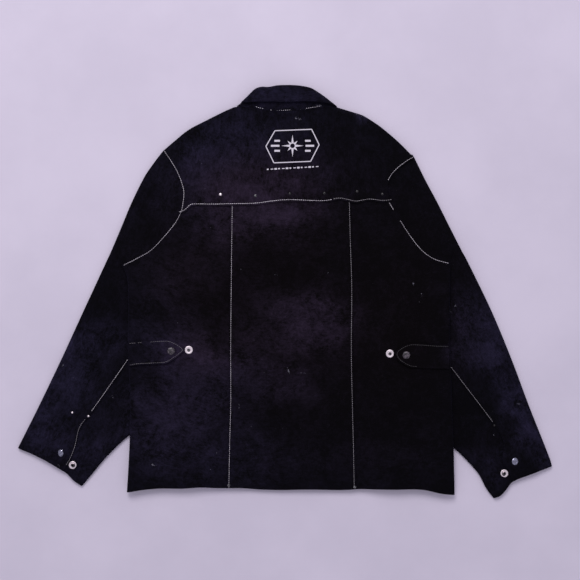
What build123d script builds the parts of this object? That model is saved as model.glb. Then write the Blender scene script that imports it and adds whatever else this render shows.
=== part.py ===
"""Leather welding jacket, lying flat on its front with the back uppermost.

Frame, in millimetres: +Z up from the floor, +Y from the hem to the collar, +X to the wearer's right.
The origin is on the floor under the middle of the jacket's bounding box.

The stack from the floor up: each sleeve is a flat leather tube that runs under the side of the body;
the two fronts lap at the centre and rise over the sleeves; the back lies on top, with its edges turned
down to the fronts.  Two waist tabs, two cuff flaps, the collar's fall and both sleeves are hinged.
"""

import os

from build123d import *

# ---- driving dimensions ----
LEATHER = 1.5  # split cowhide
SLEEVE_HEIGHT = 11.0  # outside height of the flat sleeve tube
OVER_SLEEVE = SLEEVE_HEIGHT + 0.4  # underside of the fronts where they cross a sleeve
LEFT_FRONT_Z = 1.4  # underside of the left front at the centre, clear of its snap caps
RIGHT_FRONT_Z = 7.2  # underside of the right front, which laps inside the left one
BACK_Z = 20.0  # underside of the back
BACK_TOP = BACK_Z + LEATHER
FRONT_LAP = 35.0  # each front runs this far past the centre
FACING_SIZE = (66.0, 670.0)  # the doubled strip that holds the front snaps
FACING_MIDDLE_Y = -50.0
POCKET_SIZE = (90.0, 150.0)
POCKET_MIDDLE = (92.0, 60.0)
POCKET_CORNER = 12.0
CLEAR = 0.1  # gap between pieces that lie on each other

# ---- snap fasteners, size 24 ----
SNAP_R = 7.4  # cap and stud flange
SOCKET_R = 6.4
SOCKET_BORE_R = 3.8
KNOB_R = 3.3
EYE_R = 1.2  # rolled eye in the top of the stud
SHANK_R = 1.9
HOLE_R = 2.1  # punched hole in the leather
FLANGE = 0.4
KNOB_HEIGHT = 2.4  # stud, from the leather to its top
SNAP_GAP = 2.6  # between two leathers that are snapped together
CAP_HEIGHT = 2.0
CAP_CROWN_R = 5.92  # upper half of a cap
POST_HEIGHT = 1.0
RIVET_R = 3.0
SLEEVE_RIVET_R = 2.4
RIVET_HEIGHT = 1.2
WASHER_HEIGHT = 0.6
POST_R = 6.4
FRONT_POST_HEIGHT = 0.5

# ---- outlines of the back, hem to collar ----
# The armholes and the neck are chains of arcs: every second point is on the way of one arc.
HEM = [(-314, -397), (-250, -391), (-170, -389), (-10, -395), (150, -393), (270, -395), (337, -405)]
RIGHT_SIDE = [(337, -405), (333, -250), (329, 20), (328, 59)]
RIGHT_ARMHOLE = [(328, 59), (295, 69), (264, 95), (235, 136), (212, 178), (211, 230), (259, 267)]
RIGHT_SHOULDER = [(259, 267), (225, 300), (197, 325), (170, 344), (131, 361), (107, 367)]
NECK = [(107, 367), (5, 364), (-92, 371)]
LEFT_SHOULDER = [(-92, 371), (-138, 352), (-192, 324), (-222, 300), (-244, 281)]
LEFT_ARMHOLE = [(-244, 281), (-221, 245), (-204, 198), (-213, 152), (-246, 106), (-283, 75), (-326, 54)]
LEFT_SIDE = [(-326, 54), (-312, 20), (-309, -40), (-311, -200), (-314, -397)]
YOKE_SEAM = [(-300, 158), (-211, 160), (-190, 174), (-60, 178), (10, 184), (128, 184), (210, 183), (300, 183)]
LEFT_BACK_SEAM = [(-105, 260), (-106, 150), (-110, -200), (-113, -430)]
RIGHT_BACK_SEAM = [(127, 260), (128, 150), (134, -200), (137, -430)]
FRONT_NECK_Y = 292  # centre front of the neckline
YOKE_LINING = 0.8  # cotton
YOKE_LINING_EDGE = [(-198, 186), (-60, 189), (200, 193), (200, 240), (185, 320), (105, 355), (60, 360),
                    (-5, 355), (-50, 358), (-90, 355), (-180, 318), (-205, 240)]
BODY_REACH = 450.0  # nothing lies further than this from the jacket's middle, along Y
WIDE = 500.0  # a span past any side of the body

# ---- outlines of the sleeves ----
# Each runs from the shoulder point down the outside, across the cuff and back up the hidden inner edge.
# The sleeve swings on its pivot.  The line from there to under_arm parts it from its head, which stays put.
# The first and last points of a flap are the ends of its fold.
SLEEVES = {
    "left": {
        "outside": [(-246, 279), (-282, 228), (-294, 204), (-336, 108), (-402, -36), (-470, -180),
                    (-534.5, -311)],
        "cuff": [(-534.5, -311), (-502, -326), (-470, -341), (-438, -361), (-406, -389)],
        "inside": [(-406, -389), (-375, -350), (-310, -283), (-235, -200), (-195, -110), (-188, 0),
                   (-196, 100), (-212, 165), (-208, 198), (-228, 255), (-246, 279)],
        "seam": [(-218, 300), (-250, 0), (-315, -136), (-397, -250), (-500, -327), (-560, -372)],
        "mouth": [(-230, 172), (-180, 172), (-180, 262), (-225, 245)],
        "beyond_cuff": [(-528, -308), (-560, -420), (-390, -420), (-409, -381), (-438, -356), (-502, -321)],
        "pivot": (-353, 70),
        "under_arm": (-180, -32),
        "flap": [(-397, -250), (-412, -275), (-425, -315), (-450, -355), (-500, -328)],
        "studs": [(-449, -322), (-425, -346)],
        "rivets": [(-392, -247), (-424, -240)],
    },
    "right": {
        "outside": [(259, 267), (277, 228), (290, 204), (327, 132), (375, 36), (421, -60), (461, -155),
                    (497, -251), (534.5, -348)],
        "cuff": [(534.5, -348), (485, -365), (453, -378), (445, -389), (425, -412.5), (417, -412.5)],
        "inside": [(417, -412.5), (401, -391), (385, -360), (337, -311), (250, -215), (210, -120), (200, 0),
                   (204, 100), (214, 165), (208, 198), (232, 250), (259, 267)],
        "seam": [(222, 300), (260, 0), (328, -150), (420, -270), (500, -358), (550, -413)],
        "mouth": [(230, 172), (180, 172), (180, 262), (222, 240)],
        "beyond_cuff": [(528, -343), (560, -440), (400, -440), (421, -404), (448, -378), (485, -360)],
        "pivot": (357, 71),
        "under_arm": (190, -28),
        "flap": [(420, -270), (436, -300), (433, -324), (446, -381), (500, -357)],
        "studs": [(460, -338), (439, -362)],
        "rivets": [(417, -265)],
    },
}

# ---- waist tabs: side is +1 where the tab points to +X ----
TABS = {
    "left": {"root": -306.0, "side": 1, "y": (-95, -147), "tip": (-200, -115),
             "studs": [(-227, -116), (-193, -115)]},
    "right": {"root": 323.0, "side": -1, "y": (-101, -150), "tip": (216, -124),
              "studs": [(242, -126), (209, -123)]},
}
TAB_SHOULDER = 38.0  # where the tab starts to narrow, back from its tip
TAB_TAPER = (3.0, 5.0)  # how far its upper and lower edges have come in by then
ANCHOR_WIDTH = 7.0  # sewn end of the tab
FLAP_ANCHOR_WIDTH = 2.5  # sewn edge of a cuff flap
SEWN_SHORT = 4.0  # a sewn end or edge is this much shorter than the leather it holds
HINGE_GAP = 0.7  # between a hinged leather and its sewn edge
HEAD_GAP = 1.0  # between a sleeve and its head
SLEEVE_REACH = 700.0  # longer than any sleeve

# ---- small hardware ----
YOKE_RIVETS = [(-130, 196), (-60, 193), (11, 198), (78, 197), (143, 201), (195, 197)]
BACK_SEAM_RIVETS = [(-112, -382), (136, -386)]
FRONT_SNAP_YS = [-350, -232, -114, 4, 122, 240]

# ---- collar ----
COLLAR_TOP = 412.5  # roll line
COLLAR_ENDS = [(-92, 372), (-64, 398), (-46, 409), (-18, COLLAR_TOP), (28, COLLAR_TOP), (52, 407), (80, 390),
               (106, 368)]
STAND_HOLLOW = [(-84, 340), (-84, 374), (-58, 397), (-44, 420), (48, 420), (74, 388), (98, 368), (98, 340)]
FALL_ENDS_X = (-83, 94)
FALL_EDGE_Y = 378
STAND_Z = 16.9  # underside of the collar stand's back half
STAND_LOW_Z = 10.3  # underside of its front half
FALL_Z = BACK_TOP + CLEAR

os.makedirs("parts", exist_ok=True)


def save(piece, name):
    piece.part.label = name
    export_step(piece.part, f"parts/{name}.step")


def arcs(points):
    """A chain of arcs, each through three of the points and starting where the last one ends."""
    for i in range(0, len(points) - 2, 2):
        ThreePointArc(*points[i : i + 3])


# ---- faces shared by several pieces ----
with BuildSketch() as back_outline:
    with BuildLine():
        Polyline(*HEM)
        Polyline(*RIGHT_SIDE)
        arcs(RIGHT_ARMHOLE)
        Polyline(*RIGHT_SHOULDER)
        arcs(NECK)
        Polyline(*LEFT_SHOULDER)
        arcs(LEFT_ARMHOLE)
        Polyline(*LEFT_SIDE)
    make_face()

# Everything inside the turned-down edge.  It runs past the hem and the neck, where the back has no such edge.
with BuildSketch() as inside_edge:
    add(back_outline.sketch)
    offset(amount=-LEATHER, kind=Kind.ARC, mode=Mode.REPLACE)
    with Locations((11, -395)):
        Rectangle(2 * 322, 40)
    with Locations((7, 372)):
        Rectangle(192, 40)

with BuildSketch() as above_yoke_seam:
    with BuildLine():
        Polyline(*YOKE_SEAM)
        Polyline(YOKE_SEAM[-1], (300, 450), (-300, 450), YOKE_SEAM[0])
    make_face()

with BuildSketch() as left_of_centre:
    with BuildLine():
        Polyline(*LEFT_BACK_SEAM)
        Polyline(LEFT_BACK_SEAM[-1], (-400, -430), (-400, 260), LEFT_BACK_SEAM[0])
    make_face()

with BuildSketch() as right_of_centre:
    with BuildLine():
        Polyline(*RIGHT_BACK_SEAM)
        Polyline(RIGHT_BACK_SEAM[-1], (400, -430), (400, 260), RIGHT_BACK_SEAM[0])
    make_face()


def front_profile(side, level):
    """Corners of a front's top surface in the XZ plane, from past the centre lap to past the side."""
    flat_end, raised = (150, 185) if side < 0 else (160, 195)
    top = level + LEATHER
    over = OVER_SLEEVE + LEATHER
    return [(-side * FRONT_LAP, top), (side * flat_end, top), (side * raised, over), (side * 400, over)]


# ---- back: one flat sheet in four panels, each with its share of the turned-down edge ----
def space_below_front(side, level):
    """All that is lower than the top of one front, on its side of the centre."""
    top = front_profile(side, level)[1:]
    with BuildPart() as space:
        with BuildSketch(Plane.XZ):
            with BuildLine():
                Polyline((0, top[0][1]), *top, (side * 400, -5), (0, -5), close=True)
            make_face()
        extrude(amount=BODY_REACH, both=True)
    return space


def turned_down_edge(region, sides):
    """The rim of region, a function that draws it, from the back's top down to the fronts."""
    with BuildPart() as rim:
        with BuildSketch():
            region()
            add(inside_edge.sketch, mode=Mode.SUBTRACT)
        extrude(amount=BACK_TOP)
        for side, level in sides:
            add(space_below_front(side, level).part, mode=Mode.SUBTRACT)
    return rim


def draw_side_panel(sketch):
    add(back_outline.sketch)
    add(sketch, mode=Mode.INTERSECT)
    add(above_yoke_seam.sketch, mode=Mode.SUBTRACT)


def draw_centre_panel():
    add(back_outline.sketch)
    for part in (left_of_centre, right_of_centre, above_yoke_seam):
        add(part.sketch, mode=Mode.SUBTRACT)


def draw_yoke():
    add(back_outline.sketch)
    add(above_yoke_seam.sketch, mode=Mode.INTERSECT)


LEFT_SIDE_FRONT = (-1, LEFT_FRONT_Z)
RIGHT_SIDE_FRONT = (1, RIGHT_FRONT_Z)
back_side_panels = (
    ("left", lambda: draw_side_panel(left_of_centre.sketch), LEFT_SIDE_FRONT),
    ("right", lambda: draw_side_panel(right_of_centre.sketch), RIGHT_SIDE_FRONT),
)
for name, region, front_under in back_side_panels:
    rim = turned_down_edge(region, [front_under])
    with BuildPart() as back_side_panel:
        add(rim.part)
        with BuildSketch(Plane.XY.offset(BACK_Z)):
            region()
        extrude(amount=LEATHER)
        with BuildSketch(Plane.XY.offset(BACK_Z)):
            with Locations(*TABS[name]["studs"]):
                Circle(HOLE_R)
        extrude(amount=LEATHER, mode=Mode.SUBTRACT)
    save(back_side_panel, f"back_{name}_panel")

with BuildPart() as back_centre_panel:
    with BuildSketch(Plane.XY.offset(BACK_Z)):
        draw_centre_panel()
    extrude(amount=LEATHER)
save(back_centre_panel, "back_centre_panel")

# The yoke meets both fronts at the shoulders, so each half of its edge goes down to its own front.
yoke_rim = turned_down_edge(draw_yoke, [LEFT_SIDE_FRONT, RIGHT_SIDE_FRONT])
with BuildPart() as back_yoke:
    add(yoke_rim.part)
    with BuildSketch(Plane.XY.offset(BACK_Z)):
        draw_yoke()
    extrude(amount=LEATHER)
    with BuildSketch(Plane.XY.offset(BACK_Z)):
        with Locations(*YOKE_RIVETS):
            Circle(SHANK_R)
    extrude(amount=LEATHER, mode=Mode.SUBTRACT)
save(back_yoke, "back_yoke")

with BuildPart() as yoke_lining:
    with BuildSketch(Plane.XY.offset(BACK_Z - YOKE_LINING)):
        with BuildLine():
            Polyline(*YOKE_LINING_EDGE, close=True)
        make_face()
        with Locations(*YOKE_RIVETS):
            Circle(RIVET_R + CLEAR, mode=Mode.SUBTRACT)
    extrude(amount=YOKE_LINING)
save(yoke_lining, "yoke_lining")


# ---- fronts ----
def front_panel(side, level, holes):
    """One front: a sheet with a step over the sleeve, cut to the back's outline but for the neck."""
    neck_point = LEFT_SHOULDER[0] if side < 0 else RIGHT_SHOULDER[-1]
    lap_x = -side * FRONT_LAP
    top = front_profile(side, level)
    with BuildPart() as front:
        with BuildSketch(Plane.XZ):
            with BuildLine():
                Polyline(*top, *[(x, z - LEATHER) for x, z in reversed(top)], close=True)
            make_face()
        extrude(amount=BODY_REACH, both=True)
        with BuildSketch():
            add(back_outline.sketch)
            with BuildSketch(mode=Mode.SUBTRACT):
                with BuildLine():
                    Polyline(neck_point, (side * 60, 322), (0, FRONT_NECK_Y), (lap_x, FRONT_NECK_Y - 2),
                             (-side * WIDE, FRONT_NECK_Y), (-side * WIDE, BODY_REACH),
                             (neck_point[0], BODY_REACH), close=True)
                make_face()
        extrude(amount=BACK_Z, mode=Mode.INTERSECT)
        with BuildSketch():
            with Locations(*holes):
                Circle(HOLE_R)
        extrude(amount=BACK_Z, mode=Mode.SUBTRACT)
    return front


FRONT_SNAPS = [(0, y) for y in FRONT_SNAP_YS]
save(front_panel(-1, LEFT_FRONT_Z, FRONT_SNAPS), "front_left_panel")
save(front_panel(1, RIGHT_FRONT_Z, FRONT_SNAPS), "front_right_panel")

for side, name, level in ((-1, "left", LEFT_FRONT_Z), (1, "right", RIGHT_FRONT_Z)):
    with BuildPart() as facing:
        with BuildSketch(Plane.XY.offset(level + LEATHER)):
            with Locations((0, FACING_MIDDLE_Y)):
                Rectangle(*FACING_SIZE)
            with Locations(*FRONT_SNAPS):
                Circle(HOLE_R, mode=Mode.SUBTRACT)
        extrude(amount=LEATHER)
    save(facing, f"front_{name}_facing")
    with BuildPart() as pocket:
        with BuildSketch(Plane.XY.offset(level + LEATHER)):
            with Locations((side * POCKET_MIDDLE[0], POCKET_MIDDLE[1])):
                RectangleRounded(*POCKET_SIZE, POCKET_CORNER)
        extrude(amount=LEATHER)
    save(pocket, f"inside_pocket_{name}")


# ---- snap fasteners and rivets, each a group of separate solids ----
def caps(places, z, up=1, shank=LEATHER, height=CAP_HEIGHT):
    """Domed caps on a leather face at z, with a shank that goes back through shank of leather."""
    outward, inward = (Align.MIN, Align.MAX) if up > 0 else (Align.MAX, Align.MIN)
    half = height / 2
    with BuildPart() as group:
        with Locations(*[(x, y, z) for x, y in places]):
            Cylinder(SNAP_R, half, align=(Align.CENTER, Align.CENTER, outward))
        with Locations(*[(x, y, z + up * half) for x, y in places]):
            Cylinder(CAP_CROWN_R, half, align=(Align.CENTER, Align.CENTER, outward))
        with Locations(*[(x, y, z) for x, y in places]):
            Cylinder(SHANK_R, shank, align=(Align.CENTER, Align.CENTER, inward))
    return group


def sockets(places, low, high):
    with BuildPart() as group:
        with BuildSketch(Plane.XY.offset(low)):
            with Locations(*places):
                Circle(SOCKET_R)
                Circle(SOCKET_BORE_R, mode=Mode.SUBTRACT)
        extrude(amount=high - low)
    return group


def studs(places, z, up=1):
    """Studs on a leather face at z: a broad flange and a knob with a rolled eye."""
    with BuildPart() as group:
        for radius, start, height in ((SNAP_R, 0, FLANGE), (KNOB_R, FLANGE, KNOB_HEIGHT - FLANGE)):
            with BuildSketch(Plane.XY.offset(z + up * start)):
                with Locations(*places):
                    Circle(radius)
                    Circle(EYE_R, mode=Mode.SUBTRACT)
            extrude(amount=up * height)
    return group


def posts(places, z, up=1):
    """Posts behind a stud: a flange on the inside of the leather, whose face is at z, and a barrel."""
    with BuildPart() as group:
        with BuildSketch(Plane.XY.offset(z)):
            with Locations(*places):
                Circle(POST_R)
        extrude(amount=up * POST_HEIGHT)
        with BuildSketch(Plane.XY.offset(z)):
            with Locations(*places):
                Circle(SHANK_R)
        extrude(amount=-up * LEATHER)
    return group


def rivets(places, z, thickness):
    """Rivets through a leather whose top is at z: a low head, a shank and a washer underneath."""
    with BuildPart() as group:
        for radius, start, height in ((RIVET_R, 0, RIVET_HEIGHT), (SHANK_R, 0, -thickness)):
            with BuildSketch(Plane.XY.offset(z + start)):
                with Locations(*places):
                    Circle(radius)
            extrude(amount=height)
        with BuildSketch(Plane.XY.offset(z - thickness)):
            with Locations(*places):
                Circle(RIVET_R)
        extrude(amount=-WASHER_HEIGHT)
    return group


SNAP_TAB = BACK_TOP + SNAP_GAP  # underside of the waist tabs
SNAP_FLAP = SLEEVE_HEIGHT + SNAP_GAP  # underside of the cuff flaps
waist_places = TABS["left"]["studs"] + TABS["right"]["studs"]
save(studs(waist_places, BACK_TOP), "waist_snap_studs")
save(posts(waist_places, BACK_Z, up=-1), "waist_snap_posts")
save(rivets(YOKE_RIVETS, BACK_TOP, LEATHER), "yoke_rivets")

# The centre seam rivets stand in the seams, so they are heads only, on top of the two panels.
with BuildPart() as seam_rivets:
    with Locations(*[(x, y, BACK_TOP) for x, y in BACK_SEAM_RIVETS]):
        Cylinder(RIVET_R, RIVET_HEIGHT, align=(Align.CENTER, Align.CENTER, Align.MIN))
save(seam_rivets, "back_seam_rivets")

left_front_inside = LEFT_FRONT_Z + 2 * LEATHER
right_front_inside = RIGHT_FRONT_Z + 2 * LEATHER
save(caps(FRONT_SNAPS, LEFT_FRONT_Z, up=-1, shank=2 * LEATHER, height=LEFT_FRONT_Z), "front_snap_caps")
save(sockets(FRONT_SNAPS, left_front_inside, RIGHT_FRONT_Z - FLANGE - CLEAR), "front_snap_sockets")
save(studs(FRONT_SNAPS, RIGHT_FRONT_Z, up=-1), "front_snap_studs")
with BuildPart() as front_posts:
    with BuildSketch(Plane.XY.offset(right_front_inside)):
        with Locations(*FRONT_SNAPS):
            Circle(POST_R)
    extrude(amount=FRONT_POST_HEIGHT)
    with BuildSketch(Plane.XY.offset(right_front_inside)):
        with Locations(*FRONT_SNAPS):
            Circle(SHANK_R)
    extrude(amount=-2 * LEATHER)
save(front_posts, "front_snap_posts")

# ---- waist tabs: two leathers, hinged at a sewn anchor on the side seam ----
for name, tab in TABS.items():
    side, root = tab["side"], tab["root"]
    y_high, y_low = tab["y"]
    tip_x, tip_y = tab["tip"]
    shoulder_x = tip_x - side * TAB_SHOULDER
    with BuildSketch() as tab_outline:
        with BuildLine():
            upper, lower = (shoulder_x, y_high + TAB_TAPER[0]), (shoulder_x, y_low + TAB_TAPER[1])
            Polyline(upper, (root + side * HINGE_GAP, y_high), (root + side * HINGE_GAP, y_low), lower)
            Spline(lower, (tip_x, tip_y), upper, tangents=((side, 0.1), (-side, 0.1)))
        make_face()
        with Locations(tab["studs"][0]):
            Circle(HOLE_R, mode=Mode.SUBTRACT)
    for layer, piece in ((0, "backing"), (1, "outer")):
        with BuildPart() as tab_layer:
            with BuildSketch(Plane.XY.offset(SNAP_TAB + layer * LEATHER)):
                add(tab_outline.sketch)
            extrude(amount=LEATHER)
        save(tab_layer, f"waist_tab_{name}_{piece}")
    with BuildPart() as anchor:
        with Locations((root - side * ANCHOR_WIDTH / 2, (y_high + y_low) / 2, BACK_TOP)):
            Box(ANCHOR_WIDTH, y_high - y_low - SEWN_SHORT, SNAP_GAP + 2 * LEATHER,
                align=(Align.CENTER, Align.CENTER, Align.MIN))
    save(anchor, f"waist_tab_{name}_anchor")
    save(caps(tab["studs"][:1], SNAP_TAB + 2 * LEATHER, shank=2 * LEATHER), f"waist_tab_{name}_cap")
    save(sockets(tab["studs"][:1], BACK_TOP + FLANGE + CLEAR, SNAP_TAB), f"waist_tab_{name}_socket")

# ---- sleeves: a flat tube in two leathers, a cuff flap over the vent, and its hardware ----
for name, sleeve in SLEEVES.items():
    with BuildSketch() as sleeve_outline:
        with BuildLine():
            Polyline(*sleeve["outside"])
            Polyline(*sleeve["cuff"])
            Polyline(*sleeve["inside"])
        make_face()
    with BuildSketch() as hollow:
        add(sleeve_outline.sketch)
        offset(amount=-LEATHER, kind=Kind.ARC, mode=Mode.REPLACE)
        for corners in (sleeve["mouth"], sleeve["beyond_cuff"]):
            with BuildLine():
                Polyline(*corners, close=True)
            make_face()
    side = -1 if name == "left" else 1
    with BuildSketch() as outer_side:
        with BuildLine():
            Polyline(*sleeve["seam"], (side * 600, sleeve["seam"][-1][1]), (side * 600, 300), close=True)
        make_face()
    with BuildPart() as tube:
        with BuildSketch():
            add(sleeve_outline.sketch)
        extrude(amount=SLEEVE_HEIGHT)
        with BuildSketch(Plane.XY.offset(LEATHER)):
            add(hollow.sketch)
        extrude(amount=SLEEVE_HEIGHT - 2 * LEATHER, mode=Mode.SUBTRACT)
        with BuildSketch(Plane.XY.offset(SLEEVE_HEIGHT - LEATHER)):
            with Locations(*sleeve["studs"]):
                Circle(HOLE_R)
        extrude(amount=LEATHER, mode=Mode.SUBTRACT)

    # Seen from above, head_edge runs from beyond the pivot to beyond the hidden inner edge.
    pivot = Vector(*sleeve["pivot"])
    across = (Vector(*sleeve["under_arm"]) - pivot).normalized()
    down = across.rotate(Axis.Z, 90 * side)
    start, end = pivot - across * 60, pivot + across * 300
    with BuildSketch() as head_region:
        with BuildLine():
            Polyline(start, end, end - down * SLEEVE_REACH, start - down * SLEEVE_REACH, close=True)
        make_face()
    with BuildSketch() as arm_region:
        with BuildLine():
            corners = (start, end, end + down * SLEEVE_REACH, start + down * SLEEVE_REACH)
            Polyline(*[point + down * HEAD_GAP for point in corners], close=True)
        make_face()
    with BuildPart() as head:
        add(tube.part)
        with BuildSketch():
            add(head_region.sketch)
        extrude(amount=SLEEVE_HEIGHT, mode=Mode.INTERSECT)
    save(head, f"sleeve_{name}_head")
    for piece, trim in (("outer", Mode.INTERSECT), ("under", Mode.SUBTRACT)):
        with BuildPart() as tube_half:
            add(tube.part)
            with BuildSketch():
                add(arm_region.sketch)
                add(outer_side.sketch, mode=trim)
            extrude(amount=SLEEVE_HEIGHT, mode=Mode.INTERSECT)
        save(tube_half, f"sleeve_{name}_{piece}")
    fold_start, fold_end = Vector(*sleeve["flap"][0]), Vector(*sleeve["flap"][-1])
    fold_origin = (fold_start.X, fold_start.Y, SLEEVE_HEIGHT)
    fold = Plane(origin=fold_origin, x_dir=fold_end - fold_start, z_dir=(0, 0, 1))
    with BuildPart() as flap_anchor:
        with BuildSketch(fold):
            with Locations((0, side * HINGE_GAP)):
                Rectangle((fold_end - fold_start).length - SEWN_SHORT, FLAP_ANCHOR_WIDTH,
                          align=(Align.MIN, Align.MAX if side < 0 else Align.MIN))
        extrude(amount=SNAP_GAP + LEATHER)
    save(flap_anchor, f"cuff_flap_{name}_anchor")
    with BuildPart() as flap:
        with BuildSketch(Plane.XY.offset(SNAP_FLAP)):
            with BuildLine():
                Polyline(*sleeve["flap"], close=True)
            make_face()
            with Locations(sleeve["studs"][0]):
                Circle(HOLE_R, mode=Mode.SUBTRACT)
        extrude(amount=LEATHER)
    save(flap, f"cuff_flap_{name}")
    save(caps(sleeve["studs"][:1], SNAP_FLAP + LEATHER), f"cuff_flap_{name}_cap")
    save(sockets(sleeve["studs"][:1], SLEEVE_HEIGHT + FLANGE + CLEAR, SNAP_FLAP), f"cuff_flap_{name}_socket")
    save(studs(sleeve["studs"], SLEEVE_HEIGHT), f"cuff_snap_studs_{name}")
    save(posts(sleeve["studs"], SLEEVE_HEIGHT - LEATHER, up=-1), f"cuff_snap_posts_{name}")
    with BuildPart() as vent_rivets:
        with Locations(*[(x, y, SLEEVE_HEIGHT) for x, y in sleeve["rivets"]]):
            Cylinder(SLEEVE_RIVET_R, RIVET_HEIGHT, align=(Align.CENTER, Align.CENTER, Align.MIN))
    save(vent_rivets, f"sleeve_{name}_rivets")

# ---- collar: a flattened ring that stands in the neck, and a fall in two leathers that folds over it ----
with BuildSketch() as collar_outline:
    with BuildLine():
        Polyline(*COLLAR_ENDS)
        arcs(NECK)
        Line(NECK[-1], COLLAR_ENDS[0])
        Line(COLLAR_ENDS[-1], NECK[0])
    make_face()

with BuildPart() as collar_stand:
    with BuildSketch(Plane.XY.offset(STAND_LOW_Z)):
        add(collar_outline.sketch)
    extrude(amount=BACK_Z - CLEAR - STAND_LOW_Z)
    with BuildSketch(Plane.XY.offset(STAND_LOW_Z + LEATHER)):
        with BuildLine():
            Polyline(*STAND_HOLLOW, close=True)
        make_face()
    extrude(amount=STAND_Z - STAND_LOW_Z - LEATHER, mode=Mode.SUBTRACT)
save(collar_stand, "collar_stand")

for layer, piece in ((0, "collar_fall_facing"), (1, "collar_fall")):
    with BuildPart() as fall:
        with BuildSketch(Plane.XY.offset(FALL_Z + layer * LEATHER)):
            with BuildLine():
                left_end, right_end = (FALL_ENDS_X[0], FALL_EDGE_Y), (FALL_ENDS_X[1], FALL_EDGE_Y)
                Polyline(left_end, *COLLAR_ENDS[1:-1], right_end, close=True)
            make_face()
        extrude(amount=LEATHER)
    save(fall, piece)
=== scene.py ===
"""Leather welding jacket lying flat on its front, seen from straight above the back.

Lengths in this script are in millimetres until a mesh is made.  +Y runs to the collar, +X to the wearer's
right and +Z up from the floor.  Each leather is a sheet: a flat outline, filled with triangles, lifted to
a height function and given its thickness.
"""
import math

import bpy
import numpy as np
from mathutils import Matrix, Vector
from mathutils.geometry import delaunay_2d_cdt


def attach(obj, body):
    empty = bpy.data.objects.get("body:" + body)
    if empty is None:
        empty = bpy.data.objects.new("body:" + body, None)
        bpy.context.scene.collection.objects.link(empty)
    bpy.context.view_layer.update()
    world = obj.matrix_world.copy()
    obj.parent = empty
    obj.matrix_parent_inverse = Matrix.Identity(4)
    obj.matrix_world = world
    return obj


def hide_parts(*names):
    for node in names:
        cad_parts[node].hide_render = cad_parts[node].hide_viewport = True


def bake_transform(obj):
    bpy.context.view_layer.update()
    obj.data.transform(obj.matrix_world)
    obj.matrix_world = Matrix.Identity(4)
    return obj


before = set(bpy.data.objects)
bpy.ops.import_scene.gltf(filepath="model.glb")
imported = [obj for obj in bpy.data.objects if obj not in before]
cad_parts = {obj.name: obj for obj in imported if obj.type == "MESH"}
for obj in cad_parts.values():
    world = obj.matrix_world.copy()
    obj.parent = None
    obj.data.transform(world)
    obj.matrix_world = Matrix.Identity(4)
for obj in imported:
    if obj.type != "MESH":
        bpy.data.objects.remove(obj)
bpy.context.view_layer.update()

MM = 0.001
LEATHER = 1.5
SLEEVE_TOP = 10.6  # a sleeve's upper face, away from its folds
OVER_SLEEVE = 11.4  # underside of the fronts over a sleeve
PITCH = 3.0  # spacing of a sheet's vertices

# ---------------------------------------------------------------- outlines
# Most of the silhouette's points were measured by a program that printed the jacket's edges at regular
# rows and columns.  The seams, folds, creases and hidden edges were placed from enlarged views.
SIDE = {
    "left": [(-326, 54), (-315, 30), (-312, -20), (-313, -107), (-309, -200), (-309, -280), (-312, -350),
             (-315, -399)],
    "right": [(330, 59), (329, 20), (328, -50), (329, -107), (332, -190), (334, -255), (336, -314),
              (338, -404)],
}
SHOULDER = {
    "left": [(-104, 368), (-122, 360), (-154, 344), (-192, 324), (-222, 300), (-244, 281)],
    "right": [(106, 368), (132, 360), (156, 352), (182, 336), (198, 324), (226, 300), (250, 276), (259, 267)],
}
ARMHOLE = {  # from the shoulder to the armpit
    "left": [(-244, 281), (-224, 251), (-212, 227), (-204, 200), (-206, 174), (-210, 159), (-222, 137),
             (-246, 108), (-270, 84), (-302, 66), (-326, 54)],
    "right": [(259, 267), (243, 258), (224, 243), (212, 229), (205, 212), (206, 190), (214, 172), (232, 143),
              (243, 125), (260, 101), (277, 82), (298, 68), (318, 62), (330, 59)],
}
HEM = [(-315, -399), (-285, -394), (-250, -391), (-205, -391), (-170, -389), (-130, -391), (-90, -391),
       (-50, -394), (-10, -395), (50, -394), (110, -395), (150, -393), (210, -393), (270, -393), (310, -401),
       (338, -404)]
NECK = [(-104, 368), (-58, 370), (-44, 367), (-18, 363), (6, 364), (31, 366), (52, 368), (71, 370),
        (106, 368)]
YOKE_SEAM = [(-210, 159), (-200, 163), (-192, 170), (-183, 175), (-144, 175), (-104, 176), (-59, 177),
             (-28, 181), (10, 184), (75, 182), (107, 187), (126, 184), (142, 181), (168, 185), (194, 182),
             (214, 184)]
BACK_SEAM = {
    "left": [(-105, 176), (-106, 90), (-107, 4), (-108, -100), (-108, -218), (-110, -300), (-112, -391)],
    "right": [(128, 184), (130, 103), (133, 4), (132, -107), (134, -218), (136, -300), (138, -393)],
}
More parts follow.
